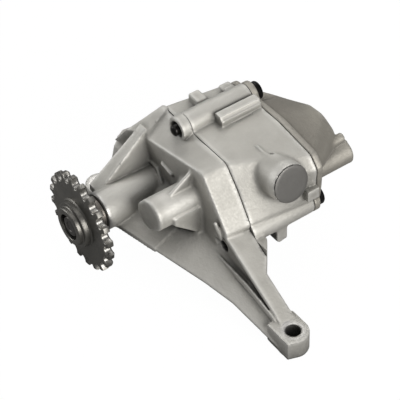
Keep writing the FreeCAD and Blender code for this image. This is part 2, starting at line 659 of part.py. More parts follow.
def sprocket():
    body = new_body("sprocket")
    half = "sprocket_width / 2"
    turned(body, [("hub_recess_floor_x", "shaft_radius"), ("collar_rear_x", "shaft_radius"),
                  ("collar_rear_x", "collar_radius"), (half, "collar_radius"),
                  (half, "sprocket_tip_radius - tooth_chamfer * 2"),
                  (half + " - tooth_chamfer", "sprocket_tip_radius"),
                  ("tooth_chamfer - " + half, "sprocket_tip_radius"),
                  ("-" + half, "sprocket_tip_radius - tooth_chamfer * 2"), ("-" + half, "hub_flange_radius"),
                  ("hub_flange_front_x + rim_chamfer", "hub_flange_radius"),
                  ("hub_flange_front_x", "hub_flange_radius - rim_chamfer"),
                  ("hub_flange_front_x", "hub_radius"), ("hub_front_x + rim_chamfer", "hub_radius"),
                  ("hub_front_x", "hub_radius - rim_chamfer"), ("hub_front_x", "hub_recess_radius"),
                  ("hub_recess_floor_x", "hub_recess_radius")], "blank")
    # one tooth space, then all of them about the shaft
    pitch = size("chain_pitch / (2 * sin(180 / sprocket_teeth * 1 deg))")
    roller = size("chain_roller_radius")
    sketch = new_sketch(body, "tooth_space", "YZ_Plane", "-" + half)
    lean = math.radians(20)
    near = vector(-roller * math.cos(lean), pitch - roller * math.sin(lean))
    wide = vector(-roller * math.cos(lean) - 1.1, pitch + 6)
    seat = Part.Arc(near, vector(0, pitch - roller), vector(-near.x, near.y))
    points = [near, wide, vector(-wide.x, wide.y), vector(-near.x, near.y)]
    for first, second in zip(points, points[1:]):
        sketch.addGeometry(Part.LineSegment(first, second), False)
    arc = sketch.addGeometry(seat, False)
    sketch.addConstraint(Sketcher.Constraint("Block", arc))
    space = pocket(body, sketch, "sprocket_width", "tooth_space_cut")
    doc.recompute()
    pattern = body.newObject("PartDesign::PolarPattern", "tooth_spaces")
    pattern.Originals = [space]
    for axis in body.Origin.OriginFeatures:
        if axis.Role == "X_Axis":
            pattern.Axis = (axis, [""])
    pattern.Angle = 360
    pattern.setExpression("Occurrences", bound("sprocket_teeth"))
    body.Tip = pattern
    key_slot(body, "hub_recess_floor_x", "collar_rear_x", "key_rise")
    return body


def key_slot(body, front, rear, rise):
    """The keyway above a bore: half of the key's height rises over the shaft."""
    sketch = new_sketch(body, "keyway_outline", "YZ_Plane", front)
    half = "key_width / 2"
    add_polygon(sketch, [("-" + half, "shaft_radius - 1"), (half, "shaft_radius - 1"),
                         (half, "shaft_radius + " + rise), ("-" + half, "shaft_radius + " + rise)])
    return pocket(body, sketch, "(%s) - (%s)" % (rear, front), "keyway")


def gear(label, front, rear, driven):
    """A spur gear with involute flanks; the driven one is turned half a tooth to mesh."""
    body = new_body(label, *(("idler_y", "idler_z") if driven else ("0", "0")))
    turned(body, tube_profile(front, rear, "shaft_radius", "gear_tip_radius"), "blank")
    teeth = size("gear_teeth")
    pitch = size("gear_module * gear_teeth / 2")
    pressure = math.radians(size("gear_pressure_angle"))
    base = pitch * math.cos(pressure)
    root = size("gear_root_radius")
    tip = size("gear_tip_radius")
    play = size("gear_backlash") / 2 / pitch

    def spread(radius):
        """Half angle of the tooth space at a radius."""
        angle = math.acos(min(1.0, base / radius))
        return math.pi / 2 / teeth + play / 2 - (math.tan(pressure) - pressure) + math.tan(angle) - angle

    # both gears start with a space on +z; the driven one is then turned until tooth meets space
    line = math.atan2(-size("idler_y"), size("idler_z"))
    turn = (2 * line + math.pi - math.pi / teeth) % (2 * math.pi / teeth) if driven else 0

    def at(radius, angle):
        return vector(radius * math.sin(angle - turn), radius * math.cos(angle - turn))

    beyond = tip + 0.4
    radii = [base + (beyond - base) * step / 6 for step in range(7)]
    left = Part.BSplineCurve()
    left.interpolate([at(radius, -spread(radius)) for radius in radii])
    right = Part.BSplineCurve()
    right.interpolate([at(radius, spread(radius)) for radius in radii])
    lower = spread(base)
    sketch = new_sketch(body, "tooth_space", "YZ_Plane", front)
    pieces = [left, right,
              Part.LineSegment(at(root, -lower), at(base, -lower)),
              Part.LineSegment(at(root, lower), at(base, lower)),
              Part.Arc(at(root, -lower), at(root, 0), at(root, lower)),
              Part.Arc(at(beyond, -spread(beyond)), at(beyond, 0), at(beyond, spread(beyond)))]
    for piece in pieces:
        number = sketch.addGeometry(piece, False)
        sketch.addConstraint(Sketcher.Constraint("Block", number))
    space = pocket(body, sketch, "(%s) - (%s)" % (rear, front), "tooth_space_cut")
    doc.recompute()
    pattern = body.newObject("PartDesign::PolarPattern", "tooth_spaces")
    pattern.Originals = [space]
    for axis in body.Origin.OriginFeatures:
        if axis.Role == "X_Axis":
            pattern.Axis = (axis, [""])
    pattern.Angle = 360
    pattern.setExpression("Occurrences", bound("gear_teeth"))
    body.Tip = pattern
    if not driven:
        key_slot(body, front, rear, "key_rise")
    return body


def drive_shaft():
    body = new_body("drive_shaft")
    front = "hub_recess_floor_x + shaft_front_gap"
    turned(body, [(front, "0"), (front, "shaft_radius - shaft_chamfer"),
                  (front + " + shaft_chamfer", "shaft_radius"),
                  ("shaft_rear_x - shaft_chamfer", "shaft_radius"),
                  ("shaft_rear_x", "shaft_radius - shaft_chamfer"), ("shaft_rear_x", "0")], "shaft")
    bore(body, front, "clamp_bolt_length", [("clamp_bolt_radius", "0", "0")], "clamp_thread")
    for start, end in (("0", "collar_rear_x"), ("front_split_x + 2", "partition_front_x - 2"),
                       ("partition_rear_x + 1", "rear_split_x - 3")):
        sketch = new_sketch(body, "keyway_outline", "YZ_Plane", start)
        half = "key_width / 2"
        add_polygon(sketch, [("-" + half, "shaft_radius + key_rise - key_height"),
                             (half, "shaft_radius + key_rise - key_height"), (half, "shaft_radius + 1"),
                             ("-" + half, "shaft_radius + 1")])
        pocket(body, sketch, "(%s) - (%s)" % (end, start), "keyway")
    ring_groove(body)
    return body


def ring_groove(body):
    """The groove for the retaining ring behind the scavenge gear."""
    front = "rear_split_x - ring_thickness - end_clearance"
    turned(body, tube_profile(front, front + " + ring_thickness", "shaft_radius - ring_groove_depth",
                              "shaft_radius + 1"), "ring_groove", "PartDesign::Groove")


def idler_shaft():
    body = new_body("idler_shaft", "idler_y", "idler_z")
    turned(body, [("idler_front_x", "0"), ("idler_front_x", "shaft_radius - shaft_chamfer"),
                  ("idler_front_x + shaft_chamfer", "shaft_radius"),
                  ("shaft_rear_x - shaft_chamfer", "shaft_radius"),
                  ("shaft_rear_x", "shaft_radius - shaft_chamfer"), ("shaft_rear_x", "0")], "shaft")
    ring_groove(body)
    return body


def retaining_ring(label, y, z):
    body = new_body(label, y, z)
    front = "rear_split_x - ring_thickness - end_clearance"
    turned(body, tube_profile(front, front + " + ring_thickness", "shaft_radius - ring_groove_depth",
                              "ring_radius"), "ring")
    return body


def keys(label, spans):
    body = new_body(label)
    sketch = new_sketch(body, "key_outlines", "XY_Plane", "shaft_radius + key_rise - key_height")
    half = "key_width / 2"
    for front, rear in spans:
        add_polygon(sketch, [(front, "-" + half), (rear, "-" + half), (rear, half), (front, half)])
    pad(body, sketch, "key_height", "keys")
    return body


def bush(label, front, rear, y="0", z="0"):
    body = new_body(label, y, z)
    turned(body, tube_profile(front, rear, "shaft_radius + running_clearance", "bush_radius"), "bush")
    return body


def ring(label, front, rear, inner, outer, y="0", z="0"):
    body = new_body(label, y, z)
    turned(body, tube_profile(front, rear, inner, outer), "ring")
    return body


def clamp_bolt():
    body = new_body("sprocket_bolt")
    seat = "hub_recess_floor_x - clamp_washer_thickness"
    top = seat + " - clamp_head_height"
    turned(body, [(top, "0"), (top, "clamp_head_radius - shaft_chamfer"),
                  (top + " + shaft_chamfer", "clamp_head_radius"), (seat, "clamp_head_radius"),
                  (seat, "clamp_bolt_radius"), ("clamp_bolt_length - 3", "clamp_bolt_radius"),
                  ("clamp_bolt_length - 3", "0")], "bolt")
    hexagon_cut(body, top, "clamp_socket_width", "clamp_socket_depth", [("0", "0")])
    return body


def hexagon_cut(body, station, width, depth, places, reverse=False):
    """Hexagon sockets cut along the shaft direction."""
    sketch = new_sketch(body, "socket_outline", "YZ_Plane", station)
    for y, z in places:
        corners = []
        for number in range(6):
            across = "%s + (%s) / 2 / cos(30 deg) * cos(%d deg)" % (y, width, 60 * number + 30)
            up = "%s + (%s) / 2 / cos(30 deg) * sin(%d deg)" % (z, width, 60 * number + 30)
            corners.append((across, up))
        add_polygon(sketch, corners)
    return pocket(body, sketch, depth, "sockets", reverse)


def bolts(label, tip, places):
    """Long bolts from the cover's seats forward, each with a round socket head behind."""
    body = new_body(label)
    seat = "bolt_seat_x"
    for front, rear, radius, name in ((tip, seat, "bolt_radius", "shanks"),
                                      (seat, seat + " + bolt_head_height", "bolt_head_radius", "heads")):
        sketch = new_sketch(body, name + "_circles", "YZ_Plane", front)
        for y, z in places:
            add_circle(sketch, radius, y, z)
        pad(body, sketch, "(%s) - (%s)" % (rear, front), name)
    hexagon_cut(body, seat + " + bolt_head_height - bolt_socket_depth", "bolt_socket_width",
                "bolt_socket_depth", places)
    return body


def round_group(label, front, rear, inner, outer, places):
    """Equal rings at several places, kept as one group."""
    body = new_body(label)
    sketch = new_sketch(body, "ring_circles", "YZ_Plane", front)
    for y, z in places:
        add_circle(sketch, outer, y, z)
        add_circle(sketch, inner, y, z)
    pad(body, sketch, "(%s) - (%s)" % (rear, front), "rings")
    return body


def relief_plug():
    body = doc.addObject("PartDesign::Body", "relief_plug")
    body.Placement = valve_placement()
    sketch = new_sketch(body, "plug_circle", "XY_Plane")
    add_circle(sketch, "valve_plug_radius")
    pad(body, sketch, "valve_plug_depth", "plug")
    return body


def relief_piston():
    body = doc.addObject("PartDesign::Body", "relief_piston")
    body.Placement = valve_placement()
    nose = "valve_seat_depth - end_clearance"
    sketch = new_sketch(body, "piston_circle", "XY_Plane", nose)
    add_circle(sketch, "valve_bore_radius - valve_clearance")
    pad(body, sketch, "valve_piston_length", "piston", True)
    sketch = new_sketch(body, "cup_circle", "XY_Plane", nose + " - valve_piston_length")
    add_circle(sketch, "valve_cup_radius")
    pocket(body, sketch, "valve_piston_length - valve_cup_floor", "cup")
    return body


def relief_spring():
    """A coil of round wire swept along short chords of its helix."""
    spring = doc.addObject("Part::Feature", "relief_spring")
    wire = size("spring_wire_radius")
    coil = size("spring_radius")
    turns = size("spring_turns")
    start = size("valve_plug_depth") + wire
    height = size("valve_seat_depth - end_clearance - valve_cup_floor") - wire - start
    chords = 10
    points = []
    for step in range(int(turns * chords) + 1):
        angle = 2 * math.pi * step / chords
        points.append(vector(coil * math.cos(angle), coil * math.sin(angle), start + height * step / turns / chords))
    path = Part.makePolygon(points)
    section = Part.Wire(Part.makeCircle(wire, points[0], points[1] - points[0]))
    spring.Shape = path.makePipeShell([section], True, False, 1)
    spring.Placement = valve_placement()
    return spring


gap = "end_clearance"
main_front = "front_split_x + " + gap
main_rear = "partition_front_x - " + gap
scavenge_front = "partition_rear_x + " + gap
scavenge_rear = "rear_split_x - ring_thickness - 2 * " + gap
washer_front = "collar_rear_x"
all_bolts = bolt_places() + [("right_bolt_y", "right_bolt_z")]
pieces = [
    front_housing(), middle_housing(), rear_cover(), sprocket(), drive_shaft(), idler_shaft(), clamp_bolt(),
    ring("sprocket_washer", "hub_recess_floor_x - clamp_washer_thickness", "hub_recess_floor_x",
         "clamp_bolt_radius", "clamp_washer_radius"),
    keys("sprocket_key", [("0", "collar_rear_x")]),
    ring("thrust_washer", washer_front, "neck_front_x - " + gap, "shaft_radius + running_clearance",
         "thrust_washer_radius"),
    gear("main_drive_gear", main_front, main_rear, False),
    gear("scavenge_drive_gear", scavenge_front, scavenge_rear, False),
    gear("main_idler_gear", main_front, main_rear, True),
    gear("scavenge_idler_gear", scavenge_front, scavenge_rear, True),
    keys("drive_gear_keys", [("front_split_x + 2", "partition_front_x - 2"),
                             ("partition_rear_x + 1", "rear_split_x - 3")]),
    bush("neck_front_bush", "neck_bush_front_x", "neck_bush_front_x + bush_length"),
    bush("neck_rear_bush", "front_split_x - bush_length", "front_split_x"),
    bush("idler_front_bush", "front_split_x - bush_length", "front_split_x", "idler_y", "idler_z"),
    bush("partition_drive_bush", "partition_front_x", "partition_rear_x"),
    bush("partition_idler_bush", "partition_front_x", "partition_rear_x", "idler_y", "idler_z"),
    bush("cover_drive_bush", "rear_split_x", "shaft_rear_x"),
    bush("cover_idler_bush", "rear_split_x", "shaft_rear_x", "idler_y", "idler_z"),
    retaining_ring("shaft_retaining_ring", "0", "0"),
    retaining_ring("idler_retaining_ring", "idler_y", "idler_z"),
    bolts("through_bolts", "bolt_tip_x", bolt_places()),
    bolts("flange_bolt", "short_bolt_tip_x", all_bolts[3:]),
    round_group("front_dowels", "front_split_x - dowel_half_length", "front_split_x + dowel_half_length",
                "dowel_bore_radius", "dowel_radius", dowel_places()),
    round_group("rear_dowels", "rear_split_x - dowel_half_length", "rear_split_x + dowel_half_length",
                "dowel_bore_radius", "dowel_radius", dowel_places()),
    relief_plug(), relief_piston(), relief_spring(),
]
doc.recompute()

faults = []
for item in doc.Objects:
    if "Invalid" in item.State or "Error" in item.State:
        faults.append("%s: %s" % (item.Label, item.State))
for piece in pieces:
    if piece.Shape.isNull() or not piece.Shape.isValid():
        faults.append("%s: shape" % piece.Label)
if faults:
    raise RuntimeError("; ".join(faults))
os.makedirs("parts", exist_ok=True)
for piece in pieces:
    piece.Shape.exportStep("parts/%s.step" % piece.Label)
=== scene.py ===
# %% [markdown]
# # Engine oil pump
# The pump hangs under an engine: a chain turns the toothed wheel, the shaft turns two pairs of gears, and
# three light alloy castings hold everything together. The CAD frame gives the places, and the cells below
# dress it. All lengths in the helpers are millimetres, because castings are thought of in millimetres, and
# each mesh is scaled to metres when it is written.

# %% The fixed frame
import math

import bpy
import numpy as np
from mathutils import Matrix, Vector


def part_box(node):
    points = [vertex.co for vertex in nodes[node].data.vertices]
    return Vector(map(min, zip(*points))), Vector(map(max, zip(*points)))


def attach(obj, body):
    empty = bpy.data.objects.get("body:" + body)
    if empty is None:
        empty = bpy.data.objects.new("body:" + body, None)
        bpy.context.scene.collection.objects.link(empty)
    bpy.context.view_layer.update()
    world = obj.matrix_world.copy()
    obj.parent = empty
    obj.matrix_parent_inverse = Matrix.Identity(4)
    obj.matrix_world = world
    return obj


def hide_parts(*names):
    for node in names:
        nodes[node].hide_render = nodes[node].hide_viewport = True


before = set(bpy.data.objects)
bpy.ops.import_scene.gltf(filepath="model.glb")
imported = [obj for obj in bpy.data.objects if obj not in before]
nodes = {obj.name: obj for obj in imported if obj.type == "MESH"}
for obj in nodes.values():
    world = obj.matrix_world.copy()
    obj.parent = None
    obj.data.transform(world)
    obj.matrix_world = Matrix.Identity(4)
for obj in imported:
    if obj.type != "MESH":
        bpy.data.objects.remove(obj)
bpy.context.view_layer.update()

import openvdb
from mathutils import Matrix, Vector

MM = 0.001
print("CAD nodes:", len(nodes))

# %% [markdown]
# ## Materials
# A finish is a small network of nodes: a base colour that drifts a little over the surface, a roughness that
# drifts with it, and a bump for the grain. All patterns read Object coordinates in metres, so a scale of 900
# gives a grain of about one millimetre. The first helper puts a node in a network and links its inputs.

# %% Node helpers
def node(tree, kind, settings=None, **inputs):
    """Adds a node. An input is a number, a colour, or an output socket of another node.

    Inputs are given by their names, or as i0, i1 and so on by their places.
    """
    made = tree.nodes.new("ShaderNode" + kind)
    for name, value in (settings or {}).items():
        setattr(made, name, value)
    for name, value in inputs.items():
        numbered = name[0] == "i" and name[1:].isdigit()
        socket = made.inputs[int(name[1:])] if numbered else made.inputs[name]
        if isinstance(value, bpy.types.NodeSocket):
            tree.links.new(value, socket)
        else:
            socket.default_value = value
    return made


def noise(tree, place, scale, detail=3.0, roughness=0.55):
    """Cloudy pattern between 0 and 1 with features of about 1 / scale metres."""
    return node(tree, "TexNoise", Vector=place, Scale=scale, Detail=detail, Roughness=roughness).outputs[0]


def attribute(tree, name):
    """A number that the mesh carries at each of its points."""
    return node(tree, "Attribute", {"attribute_name": name}).outputs["Fac"]


def spread(tree, value, low, high, from_low=0.3, from_high=0.7):
    """Stretches a pattern from one span of numbers to another."""
    return node(tree, "MapRange", i0=value, i1=from_low, i2=from_high, i3=low, i4=high).outputs[0]


def blend_colour(tree, factor, first, second, how="MIX"):
    """Mixes two colours by a factor."""
    mixed = node(tree, "Mix", {"data_type": "RGBA", "blend_type": how}, i0=factor, i6=first, i7=second)
    return mixed.outputs[2]


def times(tree, first, second):
    """The product of two patterns or numbers."""
    return node(tree, "Math", {"operation": "MULTIPLY"}, i0=first, i1=second).outputs[0]


def less(tree, first, second):
    """The first pattern or number less the second."""
    return node(tree, "Math", {"operation": "SUBTRACT"}, i0=first, i1=second).outputs[0]


def start_material(name, metallic):
    """An empty finish with its main shader, whose uniform values sit on its own sockets."""
    material = bpy.data.materials.new(name)
    material.use_nodes = True
    tree = material.node_tree
    tree.nodes.clear()
    shader = node(tree, "BsdfPrincipled", Metallic=metallic)
    node(tree, "OutputMaterial", i0=shader.outputs[0])
    place = node(tree, "TexCoord").outputs["Object"]
    return material, tree, shader, place


def bump(tree, shader, layers):
    """Stacks bumps: each layer is a pattern, a strength and a depth in metres."""
    normal = {}
    for pattern, strength, depth in layers:
        made = node(tree, "Bump", Height=pattern, Strength=strength, Distance=depth, **normal)
        normal = {"Normal": made.outputs[0]}
    tree.links.new(normal["Normal"], shader.inputs["Normal"])


print("node helpers ready")

# %% [markdown]
# ### Cast aluminium
# Die-cast aluminium is a satin grey with a fine skin, slightly mottled where the metal met the mould, a
# little brighter on outward edges, partly from the rubbing of hands and tools and partly as painted
# highlight, and darker in the corners with painted shade. Machined places are smoother and have a tone of
# their own. Each
# casting carries two attributes for that: edge, above a half on outward edges and below it in corners, and
# machined, which is one on cut faces. Corners that little light reaches are darkened more with painted
# shade.

# %% Cast aluminium
# Share of the dull colour kept where painted shade darkens the corners.
CORNER_PAINTED_SHADE = 0.45


def cast_material(name, colour, dull, bright, machined_colour):
    """Satin casting metal: mottled, lighter at its edges from wear and painted highlight, painted shade in
    its corners.
    """
    material, tree, shader, place = start_material(name, metallic=0.88)
    edge, machined = attribute(tree, "edge"), attribute(tree, "machined")
    cloud = noise(tree, place, scale=45, detail=4)
    grain = noise(tree, place, scale=900, detail=2, roughness=0.6)
    pits = noise(tree, place, scale=2600, detail=1)
    tone = blend_colour(tree, spread(tree, cloud, low=0, high=1), dull, colour)
    speck = spread(tree, grain, low=0.0, high=0.16, from_low=0.45, from_high=0.75)
    tone = blend_colour(tree, speck, tone, bright)
    # Outward edges lighter: partly wear from rubbing, partly painted highlight.
    wear_and_highlight = spread(tree, edge, low=0.0, high=0.55, from_low=0.56, from_high=0.8)
    # Corners darker: painted shade.
    shade = spread(tree, edge, low=0.55, high=0.0, from_low=0.1, from_high=0.44)
    tone = blend_colour(tree, wear_and_highlight, tone, bright)
    tone = blend_colour(tree, shade, tone, [CORNER_PAINTED_SHADE * c for c in dull[:3]] + [1])
    tone = blend_colour(tree, machined, tone, machined_colour)
    # Ambient occlusion darkens the colour where little light reaches: painted shade.
    open_sky = node(tree, "AmbientOcclusion", {"samples": 6}, Distance=0.024).outputs["AO"]
    painted_occlusion_shade = spread(tree, open_sky, low=0.28, high=1.0, from_low=0.32, from_high=0.86)
    tone = blend_colour(tree, 1.0, tone, painted_occlusion_shade, "MULTIPLY")
    tree.links.new(tone, shader.inputs["Base Color"])
    rough = less(tree, spread(tree, grain, low=0.62, high=0.74), times(tree, machined, 0.24))
    rough = less(tree, rough, times(tree, wear_and_highlight, 0.1))
    tree.links.new(rough, shader.inputs["Roughness"])
    as_cast = less(tree, 1.0, machined)
    waves, ripples = noise(tree, place, scale=110, detail=3), noise(tree, place, scale=420, detail=2)
    bump(tree, shader, [(waves, 0.6, 0.0007), (times(tree, ripples, as_cast), 0.5, 0.0003),
                        (times(tree, grain, as_cast), 0.4, 0.0002),
                        (times(tree, pits, as_cast), 0.2, 0.00006)])
    return material


ALLOY = cast_material("cast_alloy", colour=(0.63, 0.618, 0.58, 1), dull=(0.53, 0.518, 0.482, 1),
                      bright=(0.8, 0.79, 0.755, 1), machined_colour=(0.6, 0.59, 0.57, 1))
COVER_ALLOY = cast_material("cover_alloy", colour=(0.42, 0.4, 0.355, 1), dull=(0.34, 0.32, 0.285, 1),
                            bright=(0.56, 0.54, 0.49, 1), machined_colour=(0.46, 0.44, 0.4, 1))
print("casting finishes:", ALLOY.name, COVER_ALLOY.name)

# %% [markdown]
# ### Steel finishes
# The chain wheel is hardened steel, nearly black with a brown cast; its tooth flanks are lighter, partly
# polished by wear and partly as painted highlight. Screws are blackened, shafts and washers are ground,
# and bushes are sintered bronze. Ground and turned parts show fine rings about the shaft, which a wave
# pattern read from the distance to the shaft's line gives.

# %% Steel and bronze
def metal_material(name, colour, second, roughness, ring_depth=0.0, mottle=60.0):
    """Solid metal with soft colour drift, fine scratches and, where wanted, turning rings about x."""
    material, tree, shader, place = start_material(name, metallic=1.0)
    cloud = noise(tree, place, scale=mottle, detail=4)
    fine = noise(tree, place, scale=1500, detail=2)
    drift = blend_colour(tree, spread(tree, cloud, low=0, high=1), colour, second)
    tree.links.new(drift, shader.inputs["Base Color"])
    rough = spread(tree, fine, low=roughness - 0.06, high=roughness + 0.08)
    tree.links.new(rough, shader.inputs["Roughness"])
    layers = [(fine, 0.25, 0.00005), (cloud, 0.15, 0.0003)]
    if ring_depth:
        rings = node(tree, "TexWave", {"wave_type": "RINGS", "rings_direction": "X"}, Vector=place,
                     Scale=700.0, Distortion=1.2, Detail=2.0)
        layers.append((rings.outputs["Fac"], 0.3, ring_depth))
    bump(tree, shader, layers)
    return material


def wheel_material():
    """Hardened dark steel with lighter tooth flanks, marked by an attribute: partly polished by wear, partly
    painted highlight.
    """
    material, tree, shader, place = start_material("chain_wheel_steel", metallic=1.0)
    cloud = noise(tree, place, scale=70, detail=4)
    fine = noise(tree, place, scale=1400, detail=2)
    dark = blend_colour(tree, spread(tree, cloud, low=0, high=1), (0.175, 0.17, 0.158, 1),
                        (0.24, 0.232, 0.212, 1))
    # Lighter tooth flanks: partly polished by wear, partly painted highlight.
    worn_and_highlight = times(tree, attribute(tree, "polish_and_highlight"), spread(tree, cloud, low=0.75, high=1.0))
    tone = blend_colour(tree, worn_and_highlight, dark, (0.5, 0.49, 0.47, 1))
    tree.links.new(tone, shader.inputs["Base Color"])
    rough = less(tree, spread(tree, fine, low=0.36, high=0.46), times(tree, worn_and_highlight, 0.1))
    tree.links.new(rough, shader.inputs["Roughness"])
    bump(tree, shader, [(fine, 0.25, 0.00005), (cloud, 0.2, 0.0003)])
    return material


WHEEL_STEEL = metal_material("wheel_steel", (0.13, 0.12, 0.11, 1), (0.19, 0.175, 0.16, 1),
                             roughness=0.4, ring_depth=0.00004)
BLACK_STEEL = metal_material("black_steel", (0.02, 0.02, 0.02, 1), (0.045, 0.042, 0.04, 1), roughness=0.36)
SHAFT_STEEL = metal_material("shaft_steel", (0.42, 0.41, 0.4, 1), (0.5, 0.49, 0.47, 1),
                             roughness=0.26, ring_depth=0.00003)
GEAR_STEEL = metal_material("gear_steel", (0.32, 0.31, 0.3, 1), (0.4, 0.385, 0.37, 1),
                            roughness=0.33, ring_depth=0.00003)
SPRING_STEEL = metal_material("spring_steel", (0.3, 0.29, 0.28, 1), (0.38, 0.37, 0.35, 1), roughness=0.3)
BRONZE = metal_material("sintered_bronze", (0.42, 0.28, 0.14, 1), (0.5, 0.35, 0.19, 1),
                        roughness=0.45, ring_depth=0.00004, mottle=400.0)
PLUG_ALLOY = metal_material("plug_alloy", (0.36, 0.35, 0.335, 1), (0.41, 0.4, 0.38, 1),
                            roughness=0.36, ring_depth=0.00002)
DARK_FACE = metal_material("dark_face", (0.11, 0.105, 0.1, 1), (0.15, 0.142, 0.135, 1), roughness=0.42)
WORN_AND_HIGHLIT_WHEEL = wheel_material()
print("metal finishes made")

# %% [markdown]
# ## Castings
# A casting's edges are round everywhere the mould shaped it, and sharp where a cutter went over it. The CAD
# solids have their edges sharp, so each casting is worked out again as a distance field: a grid of numbers
# that say how far each point is from the metal's skin, negative inside. Blurring the field a little rounds
# the outward edges. Taking the lower of that and a field blurred more fills the inward corners with larger
# fillets, as moulds have. Around machined places the plain field comes back, so that holes and faces stay
# exact. The skin is then the surface where the field is zero.

# %% Reading and blurring a field
BLUR_REACH = 3
WELD_PLACES_PER_MM = 1000.0


def welded(name):
    """Vertices in millimetres and triangles of a CAD node, with vertices at one place made one."""
    mesh = nodes[name].data
    places = np.empty(len(mesh.vertices) * 3, np.float32)
    mesh.vertices.foreach_get("co", places)
    mesh.calc_loop_triangles()
    corners = np.empty(len(mesh.loop_triangles) * 3, np.int32)
    mesh.loop_triangles.foreach_get("vertices", corners)
    keys = np.round(places.reshape(-1, 3) / MM * WELD_PLACES_PER_MM).astype(np.int64)
    unique, back = np.unique(keys, axis=0, return_inverse=True)
    return unique / WELD_PLACES_PER_MM, back.reshape(-1)[corners].reshape(-1, 3)


def blurred(field, sigma):
    """Gaussian blur along the three axes in turn, sigma in grid steps."""
    reach = max(1, int(math.ceil(BLUR_REACH * sigma)))
    steps = np.arange(-reach, reach + 1)
    weights = np.exp(-0.5 * (steps / sigma) ** 2)
    weights = (weights / weights.sum()).astype(np.float32)
    for axis in range(3):
        margin = [(reach, reach) if a == axis else (0, 0) for a in range(3)]
        padded = np.pad(field, margin, mode="edge")
        result = np.zeros_like(field)
        for step, weight in enumerate(weights):
            window = [slice(None)] * 3
            window[axis] = slice(step, step + field.shape[axis])
            result += weight * padded[tuple(window)]
        field = result
    return field


def sampled(field, origin, step, points):
    """The field's value at points, from the eight grid values around each one."""
    place = (points - origin) / step
    low = np.clip(np.floor(place).astype(int), 0, np.array(field.shape) - 2)
    part = np.clip(place - low, 0, 1)
    total = np.zeros(len(points))
    for corner in np.ndindex(2, 2, 2):
        share = np.prod(np.where(np.array(corner) == 1, part, 1 - part), axis=1)
        index = low + corner
        total += share * field[index[:, 0], index[:, 1], index[:, 2]]
    return total


print("field helpers ready")

# %% [markdown]
# Small forms are distances too: a cylinder, a rod, a block, the room on one side of a plane. The larger of
# two distances is what both have in common, and the lower one is both together. Here the two are put
# together with a fillet, because nothing on a casting meets in a sharp line.

# %% Distances of simple forms
def common(*fields):
    """What all the fields have in common."""
    result = fields[0]
    for field in fields[1:]:
        result = np.maximum(result, field)
    return result


def within(grid, **spans):
    """Distance to a block given by its spans of x, y and z, where None leaves a side open."""
    sides = []
    for axis, name in enumerate("xyz"):
        low, high = spans.get(name, (None, None))
        if low is not None:
            sides.append(low - grid[axis])
        if high is not None:
            sides.append(grid[axis] - high)
    return common(*sides)


def cylinder_distance(grid, axis, first, second, start, end, radius):
    """Distance to a cylinder along an axis: the larger of the distance to its wall and to its ends."""
    along = grid[axis]
    others = [grid[a] for a in range(3) if a != axis]
    wall = np.sqrt((others[0] - first) ** 2 + (others[1] - second) ** 2) - radius
    return common(wall, start - along, along - end)


def rod_distance(grid, start, end, radius):
    """Distance to a round-ended rod between two points."""
    along = np.subtract(end, start)
    length = float(along @ along)
    share = sum((grid[a] - start[a]) * along[a] for a in range(3)) / length
    share = np.clip(share, 0, 1)
    return np.sqrt(sum((grid[a] - start[a] - share * along[a]) ** 2 for a in range(3))) - radius


def block_distance(grid, low, high, rounding):
    """Distance to a box with rounded edges, between its lowest and highest corner."""
    beyond = [np.maximum(low[a] + rounding - grid[a], grid[a] - high[a] + rounding) for a in range(3)]
    outside = np.sqrt(sum(np.maximum(b, 0) ** 2 for b in beyond))
    inside = np.minimum(common(*beyond), 0)
    return outside + inside - rounding


def slab_distance(grid, point, normal):
    """Signed distance to the plane through a point, positive on the side the normal points to."""
    normal = np.array(normal, float) / np.linalg.norm(normal)
    return sum((grid[a] - point[a]) * normal[a] for a in range(3))


def joined(first, second, blend):
    """Both fields together, with their meeting line filled by a fillet about as wide as blend."""
    near = np.clip(0.5 + 0.5 * (second - first) / blend, 0, 1)
    return second * (1 - near) + first * near - blend * near * (1 - near)


def cut_away(field, cutter, blend):
    """The field less another, with the rim rounded by about blend."""
    return -joined(-field, cutter, blend)


def rods(field, grid, places, radius, blend):
    """Joins a row of rods that runs through the places."""
    for start, end in zip(places, places[1:]):
        field = joined(field, rod_distance(grid, start, end, radius), blend)
    return field


def moved(places, shift):
    """The places, moved along by a shift."""
    return [tuple(np.add(place, shift)) for place in places]


print("distances of forms ready")

# %% [markdown]
# The lists of machined and crisp places say where the plain field comes back: wholly at machined places,
# and mostly at crisp ones, which stay as cast. Each row is a cylinder along one axis that holds the place:
# the axis, the two other coordinates of its line, its start and end and its radius.

# %% Casting skin
STEP = 0.62
FIELD_STEPS, MARGIN_STEPS, FAR_AWAY = 9, 10, 9.0
FILLET_LEVEL = 0.12
CRISP_SHARE, CRISP_FADE, CUT_FADE = 0.85, 2.0, 1.0
EDGE_BLUR, EDGE_SPAN = 1.3, 1.2
SHARP_CASTING = math.radians(40)
AXIS_X, AXIS_Z = 0, 2


def cylinders(axis, places, start, end, radius):
    """Rows for the lists: one cylinder along an axis through each place."""
    return [(axis, *place, start, end, radius) for place in places]


def mesh_object(name, points, faces):
    """A smooth mesh object in metres from points in millimetres."""
    mesh = bpy.data.meshes.new(name)
    mesh.from_pydata((np.asarray(points) * MM).tolist(), [], faces)
    mesh.update()
    mesh.polygons.foreach_set("use_smooth", np.full(len(mesh.polygons), True))
    made = bpy.data.objects.new(name, mesh)
    bpy.context.scene.collection.objects.link(made)
    return made


def signed_volume(points, triangles):
    """Volume within the triangles, below zero where they face inward."""
    a, b, c = (points[triangles[:, i]] for i in range(3))
    return float(np.einsum("ij,ij->", a, np.cross(b, c)) / 6)


def share_of(grid, places, shape, fade):
    """One inside any of the cylinders in the list, fading to zero over a width in millimetres."""
    keep = np.full(shape, FAR_AWAY, np.float32)
    for row in places:
        keep = np.minimum(keep, cylinder_distance(grid, *row))
    return np.clip(0.5 - keep / fade, 0, 1).astype(np.float32)


